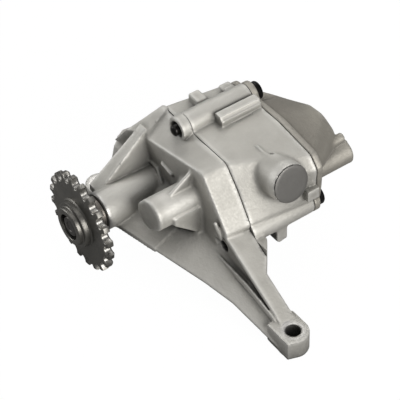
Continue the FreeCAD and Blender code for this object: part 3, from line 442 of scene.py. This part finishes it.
def casting(name, source, machined_places, crisp_places, forms, finish,
            edge_blur=0.5, corner_blur=1.5, thinning=0.03):
    """The skin of a casting: its edges and corners rounded by the blurs, then its small forms added."""
    points, triangles = welded(source)
    transform = openvdb.createLinearTransform(voxelSize=STEP)
    level = openvdb.FloatGrid.createLevelSetFromPolygons(
        points, triangles=triangles.astype(np.uint32), transform=transform, halfWidth=FIELD_STEPS)
    low = np.floor(points.min(0) / STEP).astype(int) - MARGIN_STEPS
    high = np.ceil(points.max(0) / STEP).astype(int) + MARGIN_STEPS
    plain = np.zeros(high - low + 1, np.float32)
    level.copyToArray(plain, ijk=tuple(int(v) for v in low))
    axes = [(low[a] + np.arange(plain.shape[a])) * STEP for a in range(3)]
    grid = [axes[0][:, None, None], axes[1][None, :, None], axes[2][None, None, :]]
    soft = np.minimum(blurred(plain, edge_blur / STEP), blurred(plain, corner_blur / STEP) + FILLET_LEVEL)
    crisp = share_of(grid, crisp_places, plain.shape, CRISP_FADE)
    soft = soft * (1 - CRISP_SHARE * crisp) + plain * CRISP_SHARE * crisp
    for form in forms:
        soft = form(soft, grid)
    machined = share_of(grid, machined_places, plain.shape, CUT_FADE)
    final = soft * (1 - machined) + plain * machined
    made = openvdb.FloatGrid(FIELD_STEPS * STEP)
    made.copyFromArray(final.astype(np.float32), ijk=(0, 0, 0))
    made.transform = openvdb.createLinearTransform(voxelSize=STEP)
    skin, threes, fours = made.convertToPolygons(isovalue=0.0, adaptivity=thinning)
    skin = np.asarray(skin, float) + low * STEP
    fours = np.asarray(fours, int).reshape(-1, 4)
    threes = np.asarray(threes, int).reshape(-1, 3)
    split = np.concatenate([threes, fours[:, [0, 1, 2]], fours[:, [0, 2, 3]]])
    if signed_volume(skin, split) < 0:
        fours, threes = fours[:, ::-1], threes[:, ::-1]
    result = mesh_object(name, skin, fours.tolist() + threes.tolist())
    result.data.set_sharp_from_angle(angle=SHARP_CASTING)
    turn = blurred(final, EDGE_BLUR / STEP) - final
    values = {"edge": 0.5 + sampled(turn, low * STEP, STEP, skin) / EDGE_SPAN,
              "machined": sampled(machined, low * STEP, STEP, skin)}
    for key, value in values.items():
        layer = result.data.attributes.new(key, "FLOAT", "POINT")
        layer.data.foreach_set("value", np.clip(value, 0, 1).astype(np.float32))
    result.data.materials.append(finish)
    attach(result, "casing")
    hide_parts(source)
    print(name, "faces:", len(threes) + 2 * len(fours))


print("grid step of the castings:", STEP, "mm")

# %% [markdown]
# ## Front housing
# The long neck, the closed boss beside it, both legs and the web are one casting. Cutters touched the end of
# the neck, the bores, the pads' holes, the bolt holes and the hole at the right leg's root. A bolt or a bore
# has its place across the shaft as a pair of y and z, and a pad's hole has a pair of x and y. The places of
# ribs and of the lip are x, y and z.

# %% Places of the front housing
DRIVE, IDLER, LEG_HOLE = (0.0, 0.0), (-36.25, 16.9), (-66.8, -2.2)
TOP_BOLT, LEFT_BOLT, BOTTOM_BOLT, FLANGE_BOLT = (-10.0, 44.5), (36.0, 0.0), (-16.0, -25.5), (-70.0, 3.5)
LONG_BOLTS, ALL_BOLTS = (TOP_BOLT, LEFT_BOLT, BOTTOM_BOLT), (TOP_BOLT, LEFT_BOLT, BOTTOM_BOLT, FLANGE_BOLT)
RIGHT_PAD, LEFT_PAD = (57.85, -130.3), (36.85, 39.7)
NECK_END, FRONT_JOINT = 9.0, 70.5
PAST_JOINT = FRONT_JOINT + 1.5
LEG_SEAM = ((-74.4, 11.0), (-79.4, 6.9), (-84.4, 2.8), (-89.5, -1.4))
NECK_RIB = ((54.3, -7.8, 21.4), (54.0, -17.7, 20.0))
ROOT_RIB = ((54.3, 7.0, 13.6), (53.6, -2.5, 14.2), (51.8, -9.9, 8.4))
LEG_LIP = ((52.8, -48.9, -6.7), (52.8, -60.6, -8.1), (52.8, -74.1, -9.3), (52.9, -92.1, -10.9),
           (53.3, -105.0, -14.3), (53.7, -118.0, -18.9), (53.9, -123.5, -22.6))
LIP_DROPS = (0.0, 1.3, 2.6)
CHANNEL_SHIFT = (3.4, 0, -3.4)
SHOULDER_PEAK, SHOULDER_LEFT = (54.9, 14.0, 30.8), (50.3, 26.0, 26.0)
GUSSET_TOP, CREST_TOP = (53.0, 11.5, 31.6), (53.0, 0.0, 31.8)
print("bolts:", len(ALL_BOLTS))

# %% [markdown]
# The small forms are added one after another, each with its own fillet. A form is what a few planes, spans
# and round shapes have in common.

# %% Small forms of the front housing
def gusset(field, grid):
    """The rib above the neck: its right face stands nearly upright and meets the neck's top."""
    _, y, z = grid
    outline = common(slab_distance(grid, GUSSET_TOP, normal=(-0.081, -0.953, 0.289)),
                     slab_distance(grid, CREST_TOP, normal=(-0.695, 0.0, 1.0)))
    off_the_neck = 12.6 - np.sqrt(y ** 2 + z ** 2)
    before = common(within(grid, x=(14, 53.4), y=(-4, 18.5), z=(4, None)), off_the_neck)
    field = cut_away(field, common(before, -outline), blend=0.6)
    rib = common(outline, within(grid, x=(17, 56), y=(None, 17.5), z=(2, None)))
    return joined(field, rib, blend=0.8)


def idler_side(field, grid):
    """The idler boss is a little drawn out towards the neck, and the sloping web runs on between them."""
    x, y, _ = grid
    drawn_out = cylinder_distance(grid, AXIS_X, first=-31.5, second=12.6, start=26.2, end=56.0, radius=9.4)
    field = joined(field, drawn_out, blend=1.5)
    height = slab_distance(grid, point=(0, 0, -12.5), normal=(-0.464, -0.307, 1.0))
    front_edge = 15.6 - 0.317 * y - x
    sheet = common(height, -3 - height, front_edge, within(grid, x=(None, 57), y=(-36, -2)))
    return joined(field, sheet, blend=1.2)


def ribs_and_lip(field, grid):
    """Low ribs on the wall at the neck's root, and the thin lip before the right leg's channel."""
    field = rods(field, grid, NECK_RIB, radius=1.2, blend=0.6)
    field = rods(field, grid, ROOT_RIB, radius=1.1, blend=0.6)
    for drop in LIP_DROPS:
        field = rods(field, grid, moved(LEG_LIP, (0, 0, -drop)), radius=0.8, blend=0.6)
    return field


def shoulder(field, grid):
    """The soft shoulder above the left leg."""
    top = slab_distance(grid, SHOULDER_PEAK, normal=(-0.782, 0.042, 1.0))
    left = slab_distance(grid, SHOULDER_LEFT, normal=(0.0, 0.81, 0.585))
    front = slab_distance(grid, SHOULDER_PEAK, normal=(-1.0, -0.383, 0.0))
    behind = within(grid, x=(None, FRONT_JOINT), y=(10, None), z=(14, None))
    return joined(field, common(top, left, front, behind), blend=4.0)


def leg_root(field, grid):
    """The floor of the right leg's channel, the slot beside the leg's hole and the flap above it."""
    field = rods(field, grid, moved(LEG_LIP[1:], CHANNEL_SHIFT), radius=2.4, blend=1.5)
    slot = rod_distance(grid, start=(54.6, -60.9, 0.0), end=(54.6, -65.7, -4.4), radius=1.5)
    field = cut_away(field, slot, blend=0.4)
    flap = rod_distance(grid, start=(51.9, -64.5, 17.0), end=(54.6, -66.5, 5.0), radius=1.2)
    return joined(field, flap, blend=1.2)


def tube_ring(field, grid):
    """The ring at the front end of the top bolt's tube."""
    ring = cylinder_distance(grid, AXIS_X, *TOP_BOLT, start=64.0, end=FRONT_JOINT, radius=8.0)
    return joined(field, ring, blend=0.5)


print("forms of the front housing ready")

# %% Front housing
front_cuts = (cylinders(AXIS_X, [DRIVE], start=NECK_END, end=14.0, radius=14.0)
              + cylinders(AXIS_X, [DRIVE], start=NECK_END, end=PAST_JOINT, radius=10.6)
              + cylinders(AXIS_X, [IDLER], start=30.5, end=PAST_JOINT, radius=8.4)
              + cylinders(AXIS_X, LONG_BOLTS, start=60.0, end=PAST_JOINT, radius=5.0)
              + cylinders(AXIS_X, [LEG_HOLE], start=50.0, end=69.0, radius=4.4)
              + cylinders(AXIS_Z, [RIGHT_PAD, LEFT_PAD], start=-35.0, end=-17.0, radius=7.5))
front_crisp = (cylinders(AXIS_X, [TOP_BOLT], start=60.0, end=PAST_JOINT, radius=11.0)
               + cylinders(AXIS_X, LEG_SEAM, start=66.0, end=PAST_JOINT, radius=6.0)
               + cylinders(AXIS_Z, [RIGHT_PAD], start=-36.0, end=-17.0, radius=14.0))
casting("front_housing_skin", "front_housing", front_cuts, front_crisp,
        (gusset, idler_side, ribs_and_lip, shoulder, leg_root, tube_ring), ALLOY)

# %% [markdown]
# ## Middle housing
# The gear chambers are inside. Outside are the tube for the top bolt, the rail beside it, the round valve
# boss and the lugs.

# %% Middle housing
BEFORE_JOINT, PAST_REAR_JOINT = 69.0, 117.0
RAIL = (-22.0, 47.5)


def joint_block(field, grid):
    """The block at the rear joint below the valve boss, and the pocket in front of it."""
    block = block_distance(grid, low=(106.5, -81.5, 14.6), high=(115.2, -74.0, 22.4), rounding=0.5)
    field = joined(field, block, blend=0.6)
    pocket = rod_distance(grid, start=(101.5, -79.0, 12.0), end=(106.5, -78.5, 12.4), radius=1.9)
    return cut_away(field, pocket, blend=0.4)


def valve_fin(field, grid):
    """The thin fin beside the valve boss, with a groove along it."""
    fin = rod_distance(grid, start=(92.6, -50.5, 44.9), end=(94.4, -66.5, 41.0), radius=1.0)
    groove = rod_distance(grid, start=(95.2, -53.5, 45.6), end=(96.6, -65.5, 42.6), radius=0.8)
    return cut_away(joined(field, fin, blend=1.0), groove, blend=0.4)


def top_lugs(field, grid):
    """The lugs beside the tube: the front one stands higher, the rear one lower."""
    front_lug = block_distance(grid, low=(84.4, -3.0, 38.0), high=(92.0, 7.0, 50.4), rounding=1.0)
    above_rear_lug = block_distance(grid, low=(103.0, -1.0, 47.4), high=(114.9, 12.0, 54.0), rounding=0.3)
    return cut_away(joined(field, front_lug, blend=1.0), above_rear_lug, blend=1.0)


middle_cuts = (cylinders(AXIS_X, [DRIVE, IDLER], BEFORE_JOINT, PAST_REAR_JOINT, radius=24.6)
               + cylinders(AXIS_X, ALL_BOLTS, BEFORE_JOINT, PAST_REAR_JOINT, radius=5.5))
middle_crisp = (cylinders(AXIS_X, [RAIL], start=83.0, end=PAST_REAR_JOINT, radius=7.0)
                + cylinders(AXIS_X, [TOP_BOLT], BEFORE_JOINT, PAST_REAR_JOINT, radius=11.0)
                + cylinders(AXIS_X, LEG_SEAM, BEFORE_JOINT, end=75.0, radius=6.0))
casting("middle_housing_skin", "middle_housing", middle_cuts, middle_crisp,
        (joint_block, valve_fin, top_lugs), ALLOY)

# %% [markdown]
# ## Rear cover
# The cover is a darker, browner casting with a domed end and a pipe stub. Its edges are rounder than those
# of the other two.

# %% Rear cover
PIPE, RIDGE = (-53.5, 7.5), (-60.0, 27.5)
BEFORE_COVER, FLANGE_END = 113.0, 121.0


def free_pipe(field, grid):
    """The dome's right side is cut back, so that the pipe and the ridge run free from the flange on."""
    side = slab_distance(grid, point=(0, -52.0, 0), normal=(0, -1.0, -0.2))
    cut = common(-side, within(grid, x=(121.5, None), z=(None, 24.5)))
    field = cut_away(field, cut, blend=1.5)
    pipe = cylinder_distance(grid, AXIS_X, *PIPE, start=118.5, end=157.9, radius=8.0)
    ridge = cylinder_distance(grid, AXIS_X, *RIDGE, start=119.0, end=149.0, radius=3.0)
    return joined(joined(field, pipe, blend=1.2), ridge, blend=1.0)


cover_cuts = (cylinders(AXIS_X, [DRIVE, IDLER], BEFORE_COVER, end=127.0, radius=11.0)
              + cylinders(AXIS_X, ALL_BOLTS, BEFORE_COVER, FLANGE_END, radius=5.5)
              + cylinders(AXIS_X, [PIPE], start=129.0, end=160.0, radius=6.6))
cover_crisp = cylinders(AXIS_X, ALL_BOLTS, start=114.0, end=FLANGE_END, radius=9.5)
casting("rear_cover_skin", "rear_cover", cover_cuts, cover_crisp, (free_pipe,), COVER_ALLOY,
        edge_blur=0.6, corner_blur=2.6, thinning=0.05)

# %% [markdown]
# ## Turned pieces
# Wheel, screws and plug are rows of points round an axis, with each row joined to the next one.

# %% Skins from rows of points
POINT = 0.02
SHARP_TURNED = math.radians(32)


def row_faces(rows):
    """Faces between rows of points, and the two caps that close the first and the last row."""
    count, around = rows.shape[:2]
    first = np.arange(count - 1)[:, None] * around + np.arange(around)
    turned_on = np.roll(first, -1, axis=1)
    sides = np.stack([first + around, turned_on + around, turned_on, first], axis=-1).reshape(-1, 4)
    row = np.arange(around)
    return sides, [row.tolist(), (row[::-1] + (count - 1) * around).tolist()]


def outward(points, sides, caps):
    """The faces, turned round where they would face inward."""
    split = np.concatenate([sides[:, [0, 1, 2]], sides[:, [0, 2, 3]]])
    faces = sides.tolist() + caps
    return [face[::-1] for face in faces] if signed_volume(points, split) < 0 else faces


def turned_skin(name, rows):
    """A closed mesh object from rows of points round an axis."""
    points = rows.reshape(-1, 3)
    return mesh_object(name, points, outward(points, *row_faces(rows)))


def circles(section, turn, centre=(0, 0)):
    """Rows of points on circles about x: each section entry is a station and a radius."""
    return [np.column_stack([np.full(len(turn), station), centre[0] + radius * np.sin(turn),
                             centre[1] + radius * np.cos(turn)]) for station, radius in section]


def finished(made, body, finish, replaced, sharp=SHARP_TURNED):
    """Gives a piece its finish, its sharp edges and its place in the frame."""
    made.data.materials.append(finish)
    made.data.set_sharp_from_angle(angle=sharp)
    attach(made, body)
    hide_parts(replaced)
    print(made.name, "faces:", len(made.data.polygons))


print("helpers for turned pieces ready")

# %% [markdown]
# ## Chain wheel
# A roller-chain wheel is hobbed: between two teeth lies a round seat for the chain's roller, with straight
# flanks up to the tip, and both sides of each tooth are bevelled so that the chain finds its way in. The
# surface runs along two parameters: round the wheel's edge, and across its section from the bore over the
# front face, the teeth and the rear face to the collar. Hub rows are circles, tooth rows follow the edge.

# %% Edge of the chain wheel
TEETH = 20
CHAIN_PITCH = 9.525
PITCH_RADIUS = CHAIN_PITCH / (2 * math.sin(math.pi / TEETH))
ROLLER_RADIUS, TIP_RADIUS = 3.2, 32.5
FLANK_LEAN, FLANK_TURN = math.radians(20), math.radians(6.15)
SEAT_POINTS, TIP_POINTS = 9, 4
HALF_WIDTH = 2.65


def tooth_edge():
    """Edge of the wheel across and up for one tooth space: tip, flank, round seat, flank, tip."""
    swing = np.linspace(math.pi - FLANK_LEAN, FLANK_LEAN, SEAT_POINTS)
    seat = np.column_stack([ROLLER_RADIUS * np.cos(swing), PITCH_RADIUS - ROLLER_RADIUS * np.sin(swing)])
    tip = np.linspace(-math.pi / TEETH, -FLANK_TURN, TIP_POINTS)
    left_tip = np.column_stack([TIP_RADIUS * np.sin(tip), TIP_RADIUS * np.cos(tip)])
    right_tip = left_tip[::-1] * (-1, 1)
    return np.concatenate([left_tip, seat, right_tip[:-1]])


tooth_turns = np.arange(TEETH) * 2 * math.pi / TEETH
wheel_edge = np.concatenate([
    tooth_edge() @ np.array([[math.cos(turn), -math.sin(turn)], [math.sin(turn), math.cos(turn)]])
    for turn in tooth_turns])
ahead = np.roll(wheel_edge, -1, axis=0) - np.roll(wheel_edge, 1, axis=0)
inward = np.column_stack([ahead[:, 1], -ahead[:, 0]]) / np.linalg.norm(ahead, axis=1)[:, None]
inward *= -np.sign((inward * wheel_edge).sum(1).mean())
wheel_turn = np.arctan2(wheel_edge[:, 0], wheel_edge[:, 1])
print("points round the wheel:", len(wheel_edge))

# %% [markdown]
# The hub's rows are a station along x and a radius. A bevel row is its depth behind the tooth's side, how
# far the edge is drawn in there, how far below the tip it is held, and how much lighter it is drawn, partly
# polished by wear and partly as painted highlight.

# %% Chain wheel
HUB = ((8.0, 7.5), (-1.5, 7.5), (-1.5, 8.4), (-9.2, 8.5), (-9.5, 8.8), (-9.5, 11.6), (-9.3, 12.0),
       (-8.9, 12.3), (-7.0, 12.4), (-6.6, 12.8), (-6.6, 14.2), (-6.4, 14.75), (-5.9, 15.0), (-3.4, 15.2),
       (-HALF_WIDTH, 16.2))
COLLAR = ((HALF_WIDTH, 11.6), (3.0, 11.1), (7.6, 11.0), (8.0, 10.6), (8.0, 7.5))
BEVELS = ((0.0, 0.5, 1.5, 0.0), (0.25, 0.25, 0.9, 0.3), (0.8, 0.0, 0.15, 1.0), (1.2, 0.0, 0.0, 1.0))
TIP_POLISH_AND_HIGHLIGHT, FLANK_POLISH_AND_HIGHLIGHT_LOSS, FLANK_START = 0.1, 0.5, 0.02


def tooth_row(station, inset, drop):
    """The wheel's edge at a station, drawn in by an inset and, for bevels, held below a radius."""
    line = wheel_edge + inset * inward
    reach = np.linalg.norm(line, axis=1)
    line = line * (np.minimum(reach, TIP_RADIUS - drop) / reach)[:, None]
    return np.column_stack([np.full(len(line), station), line])


front_teeth = [tooth_row(-HALF_WIDTH + behind, inset, drop) for behind, inset, drop, _ in BEVELS]
rear_teeth = [tooth_row(HALF_WIDTH - behind, inset, drop) for behind, inset, drop, _ in BEVELS[::-1]]
wheel_rows = np.array(circles(HUB, wheel_turn) + front_teeth + rear_teeth + circles(COLLAR, wheel_turn))
# How much lighter each row and column is drawn: partly polished by wear, partly painted highlight.
bevel_polish_and_highlight = [polish_and_highlight for *_, polish_and_highlight in BEVELS]
row_polish_and_highlight = np.array([0.0] * len(HUB) + bevel_polish_and_highlight + bevel_polish_and_highlight[::-1] + [0.0] * len(COLLAR))
depth = (TIP_RADIUS - np.linalg.norm(wheel_edge, axis=1)) / (TIP_RADIUS - PITCH_RADIUS + ROLLER_RADIUS)
column_polish_and_highlight = np.where(depth > FLANK_START, 1.0 - FLANK_POLISH_AND_HIGHLIGHT_LOSS * depth, TIP_POLISH_AND_HIGHLIGHT)
wheel_points = wheel_rows.reshape(-1, 3)
wheel_sides, _ = row_faces(wheel_rows)
wheel_skin = mesh_object("chain_wheel_skin", wheel_points, outward(wheel_points, wheel_sides, []))
# The lighter flanks as an attribute: polished by wear and painted highlight.
layer = wheel_skin.data.attributes.new("polish_and_highlight", "FLOAT", "POINT")
layer.data.foreach_set("value", (row_polish_and_highlight[:, None] * column_polish_and_highlight).reshape(-1).astype(np.float32))
finished(wheel_skin, "drive", WORN_AND_HIGHLIT_WHEEL, "sprocket")

# %% [markdown]
# ## Screws and plug
# The long screws end in black rounded tips in front and have low black heads with a round dish behind. The
# clamp screw fills the wheel's hub. The closing plug is turned, pressed in and peened over at its rim.

# %% Screws
AROUND = np.linspace(0, 2 * math.pi, 48, endpoint=False)
SCREW_SEAT, HEAD_HEIGHT = 119.5, 4.6
SCREW_TIP_RADIUS, SHANK_RADIUS = 3.4, 4.0
DOME_REACH = np.linspace(0.02, 1.45, 7)
THREAD_DEPTH, THREAD_STEP, THREAD_ROWS = 0.28, 0.25, 10
DISH_RADIUS = 3.1
SHARP_SCREW = math.radians(35)


def screw_section(tip, head_radius):
    """Section of a long screw: a domed tip with thread grooves, the shank, and a head with a round dish."""
    dome = [(tip - 0.2 + 1.5 * (1 - math.cos(angle)), SCREW_TIP_RADIUS * math.sin(angle))
            for angle in DOME_REACH]
    thread = [(tip + 1.6 + THREAD_STEP * i, SCREW_TIP_RADIUS - (THREAD_DEPTH if i % 4 >= 2 else 0.0))
              for i in range(THREAD_ROWS)]
    shank = [(tip + 4.6, SHANK_RADIUS - 0.3), (tip + 4.9, SHANK_RADIUS), (SCREW_SEAT, SHANK_RADIUS)]
    rim = SCREW_SEAT + HEAD_HEIGHT
    head = [(SCREW_SEAT, head_radius - 0.3), (SCREW_SEAT + 0.3, head_radius), (rim - 0.9, head_radius),
            (rim - 0.3, head_radius - 0.35), (rim, head_radius - 1.0), (rim, 3.4), (rim - 0.3, 3.15),
            (rim - 2.8, DISH_RADIUS), (rim - 2.9, POINT)]
    return dome + thread + shank + head


def screws(name, source, places, tip, head_radius):
    """All screws of one CAD node as one piece."""
    section = screw_section(tip, head_radius)
    points, faces = [], []
    for centre in places:
        rows = np.array(circles(section, AROUND, centre))
        turned = outward(rows.reshape(-1, 3), *row_faces(rows))
        faces += [[corner + len(points) for corner in face] for face in turned]
        points += rows.reshape(-1, 3).tolist()
    made = mesh_object(name, points, faces)
    finished(made, "casing", BLACK_STEEL, source, SHARP_SCREW)


screws("long_screws", "through_bolts", LONG_BOLTS, tip=61.0, head_radius=5.9)
screws("flange_screw", "flange_bolt", [FLANGE_BOLT], tip=72.2, head_radius=6.3)

# %% Clamp screw of the wheel
CLAMP = ((-8.2, POINT), (-8.2, 2.4), (-8.25, 3.0), (-8.7, 3.3), (-8.7, 5.4), (-8.5, 6.1), (-8.0, 6.45),
         (-3.1, 6.5), (-3.1, 4.0), (19.0, 4.0), (19.0, POINT))
clamp_skin = turned_skin("clamp_screw_skin", np.array(circles(CLAMP, AROUND)))
finished(clamp_skin, "drive", DARK_FACE, "sprocket_bolt")

# %% Closing plug
VALVE = np.array([94.4, -81.0, 36.5])
TILT = math.radians(13)
backwards = np.array([1.0, 0, 0])
outwards = np.array([0, -math.cos(TILT), math.sin(TILT)])
upwards = np.array([0, math.sin(TILT), math.cos(TILT)])
PLUG = ((0.42, POINT), (0.42, 3.0), (0.4, 6.0), (0.38, 9.5), (0.34, 10.9), (0.2, 11.6), (-0.05, 11.8),
        (-0.12, 11.3), (-5.0, 11.3), (-5.0, POINT))
plug_turn = np.linspace(0, 2 * math.pi, 96, endpoint=False)[:, None]
plug_circle = np.cos(plug_turn) * backwards + np.sin(plug_turn) * upwards
plug_rows = np.array([VALVE + rise * outwards + radius * plug_circle for rise, radius in PLUG])
plug_skin = turned_skin("closing_plug_skin", plug_rows)
finished(plug_skin, "casing", PLUG_ALLOY, "relief_plug")

# %% [markdown]
# ## Finishes of the CAD pieces
# Pieces that stay as the CAD gives them get their finishes here.

# %% CAD finishes
FINISHES = {
    WHEEL_STEEL: ("thrust_washer",),
    SHAFT_STEEL: ("drive_shaft", "idler_shaft", "sprocket_washer", "sprocket_key", "drive_gear_keys",
                  "shaft_retaining_ring", "idler_retaining_ring", "front_dowels", "rear_dowels",
                  "relief_piston"),
    GEAR_STEEL: ("main_drive_gear", "main_idler_gear", "scavenge_drive_gear", "scavenge_idler_gear"),
    SPRING_STEEL: ("relief_spring",),
    BRONZE: ("neck_front_bush", "neck_rear_bush", "idler_front_bush",
             "partition_drive_bush", "partition_idler_bush", "cover_drive_bush", "cover_idler_bush"),
}
for finish, names in FINISHES.items():
    for name in names:
        nodes[name].data.materials.clear()
        nodes[name].data.materials.append(finish)
print("finished CAD nodes:", sum(len(names) for names in FINISHES.values()))

# %% [markdown]
# ## Floor, light and camera
# The studio is a pale floor under a white sky. The sky that the camera sees is pure white, and the sky that
# lights the metal is grey, with soft lamps that make the right-hand faces the brightest.

# %% Floor
FLOOR_GAP, FLOOR_REACH = 0.0004, 4.0
FLOOR_GLOW, FLOOR_GLOW_SHARE = 1.09, 0.9
floor_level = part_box("front_housing")[0][2] - FLOOR_GAP
floor_mesh = bpy.data.meshes.new("floor")
corners = np.array([[-1, -1], [1, -1], [1, 1], [-1, 1]]) * FLOOR_REACH
floor_mesh.from_pydata([(x, y, floor_level) for x, y in corners.tolist()], [], [(0, 1, 2, 3)])
floor = bpy.data.objects.new("floor", floor_mesh)
bpy.context.scene.collection.objects.link(floor)
floor_material = bpy.data.materials.new("pale_floor")
floor_material.use_nodes = True
floor_tree = floor_material.node_tree
floor_tree.nodes.clear()
floor_shader = node(floor_tree, "BsdfDiffuse", Color=(0.28, 0.28, 0.28, 1))
floor_glow = node(floor_tree, "Emission", Color=(1, 1, 1, 1), Strength=FLOOR_GLOW)
floor_share = times(floor_tree, node(floor_tree, "LightPath").outputs["Is Camera Ray"], FLOOR_GLOW_SHARE)
floor_mix = node(floor_tree, "MixShader", i0=floor_share, i1=floor_shader.outputs[0],
                 i2=floor_glow.outputs[0])
node(floor_tree, "OutputMaterial", i0=floor_mix.outputs[0])
floor.data.materials.append(floor_material)
print("floor at", round(floor_level / MM, 2), "mm")

# %% Sky
SKY_LIGHT = 0.24
world = bpy.data.worlds.new("studio")
bpy.context.scene.world = world
world.use_nodes = True
sky = world.node_tree
sky.nodes.clear()
sky_path = node(sky, "LightPath")
sky_light = node(sky, "Background", Color=(0.99, 0.99, 1.0, 1), Strength=SKY_LIGHT)
sky_white = node(sky, "Background", Color=(1, 1, 1, 1), Strength=1.0)
sky_mix = node(sky, "MixShader", i0=sky_path.outputs["Is Camera Ray"], i1=sky_light.outputs[0],
               i2=sky_white.outputs[0])
node(sky, "OutputWorld", i0=sky_mix.outputs[0])
print("sky light:", SKY_LIGHT)


# %% Lamps
def lamp(name, place, size, power, colour=(1, 1, 1)):
    """A square soft lamp that looks at the pump."""
    light = bpy.data.lights.new(name, "AREA")
    light.shape = "SQUARE"
    light.size = size
    light.energy = power
    light.color = colour
    made = bpy.data.objects.new(name, light)
    made.location = place
    made.rotation_euler = (CENTRE - Vector(place)).to_track_quat("-Z", "Y").to_euler()
    bpy.context.scene.collection.objects.link(made)


CENTRE = Vector((0.07, -0.03, 0.0))
lamp("key_lamp", (0.15, -1.9, 0.8), size=1.2, power=33.5, colour=(1.0, 0.985, 0.96))
lamp("top_lamp", (0.3, 0.1, 1.95), size=1.2, power=6.0, colour=(1.0, 0.99, 0.97))
lamp("back_lamp", (0.9, 1.25, 1.45), size=1.0, power=8.0, colour=(1.0, 0.99, 0.97))
lamp("left_lamp", (-1.1, 1.7, 0.6), size=1.0, power=12.5)
print("lamps set")

# %% [markdown]
# The camera stands about 0.95 m away, above and to the right of the chain wheel. Its place was worked out
# from the photograph: the wheel's circle gives the scale and the tilt, and the shaft's line gives the turn.

# %% Camera
SHAFT_TURN, SHAFT_DIP, ROLL = (math.radians(a) for a in (33.7, 44.1, 2.6))
FOCAL_PIXELS, FRAME_PIXELS = 1600.0, 400.0
WHEEL_PIXELS, SENSOR_WIDTH, SIGHT_END = 54.7, 36.0, 20.0
PIXELS_PER_MM = WHEEL_PIXELS / TIP_RADIUS
WHEEL_FACE = np.array([-HALF_WIDTH, 0.0, 0.0])
WHEEL_PIXEL = np.array([78.0, 222.5])
roll = np.array([[math.cos(ROLL), -math.sin(ROLL), 0], [math.sin(ROLL), math.cos(ROLL), 0], [0, 0, 1]])
x_seen = roll @ np.array([math.cos(SHAFT_TURN), math.sin(SHAFT_TURN) * math.sin(SHAFT_DIP),
                          -math.sin(SHAFT_TURN) * math.cos(SHAFT_DIP)])
z_seen = roll @ np.array([0, math.cos(SHAFT_DIP), math.sin(SHAFT_DIP)])
y_seen = np.cross(z_seen, x_seen)
turned = np.column_stack([x_seen, y_seen, z_seen])
offset = np.append((WHEEL_PIXEL - FRAME_PIXELS / 2) * (1, -1), -FOCAL_PIXELS) / PIXELS_PER_MM
camera_place = (WHEEL_FACE - turned.T @ offset) * MM
camera_data = bpy.data.cameras.new("camera")
camera_data.lens = SENSOR_WIDTH * FOCAL_PIXELS / FRAME_PIXELS
camera_data.clip_end = SIGHT_END
camera = bpy.data.objects.new("camera", camera_data)
camera.matrix_world = Matrix.Translation(Vector(camera_place)) @ Matrix(turned.T.tolist()).to_4x4()
bpy.context.scene.collection.objects.link(camera)
bpy.context.scene.camera = camera
bpy.context.scene.view_settings.view_transform = "Standard"
print("camera at", np.round(camera_place, 3))
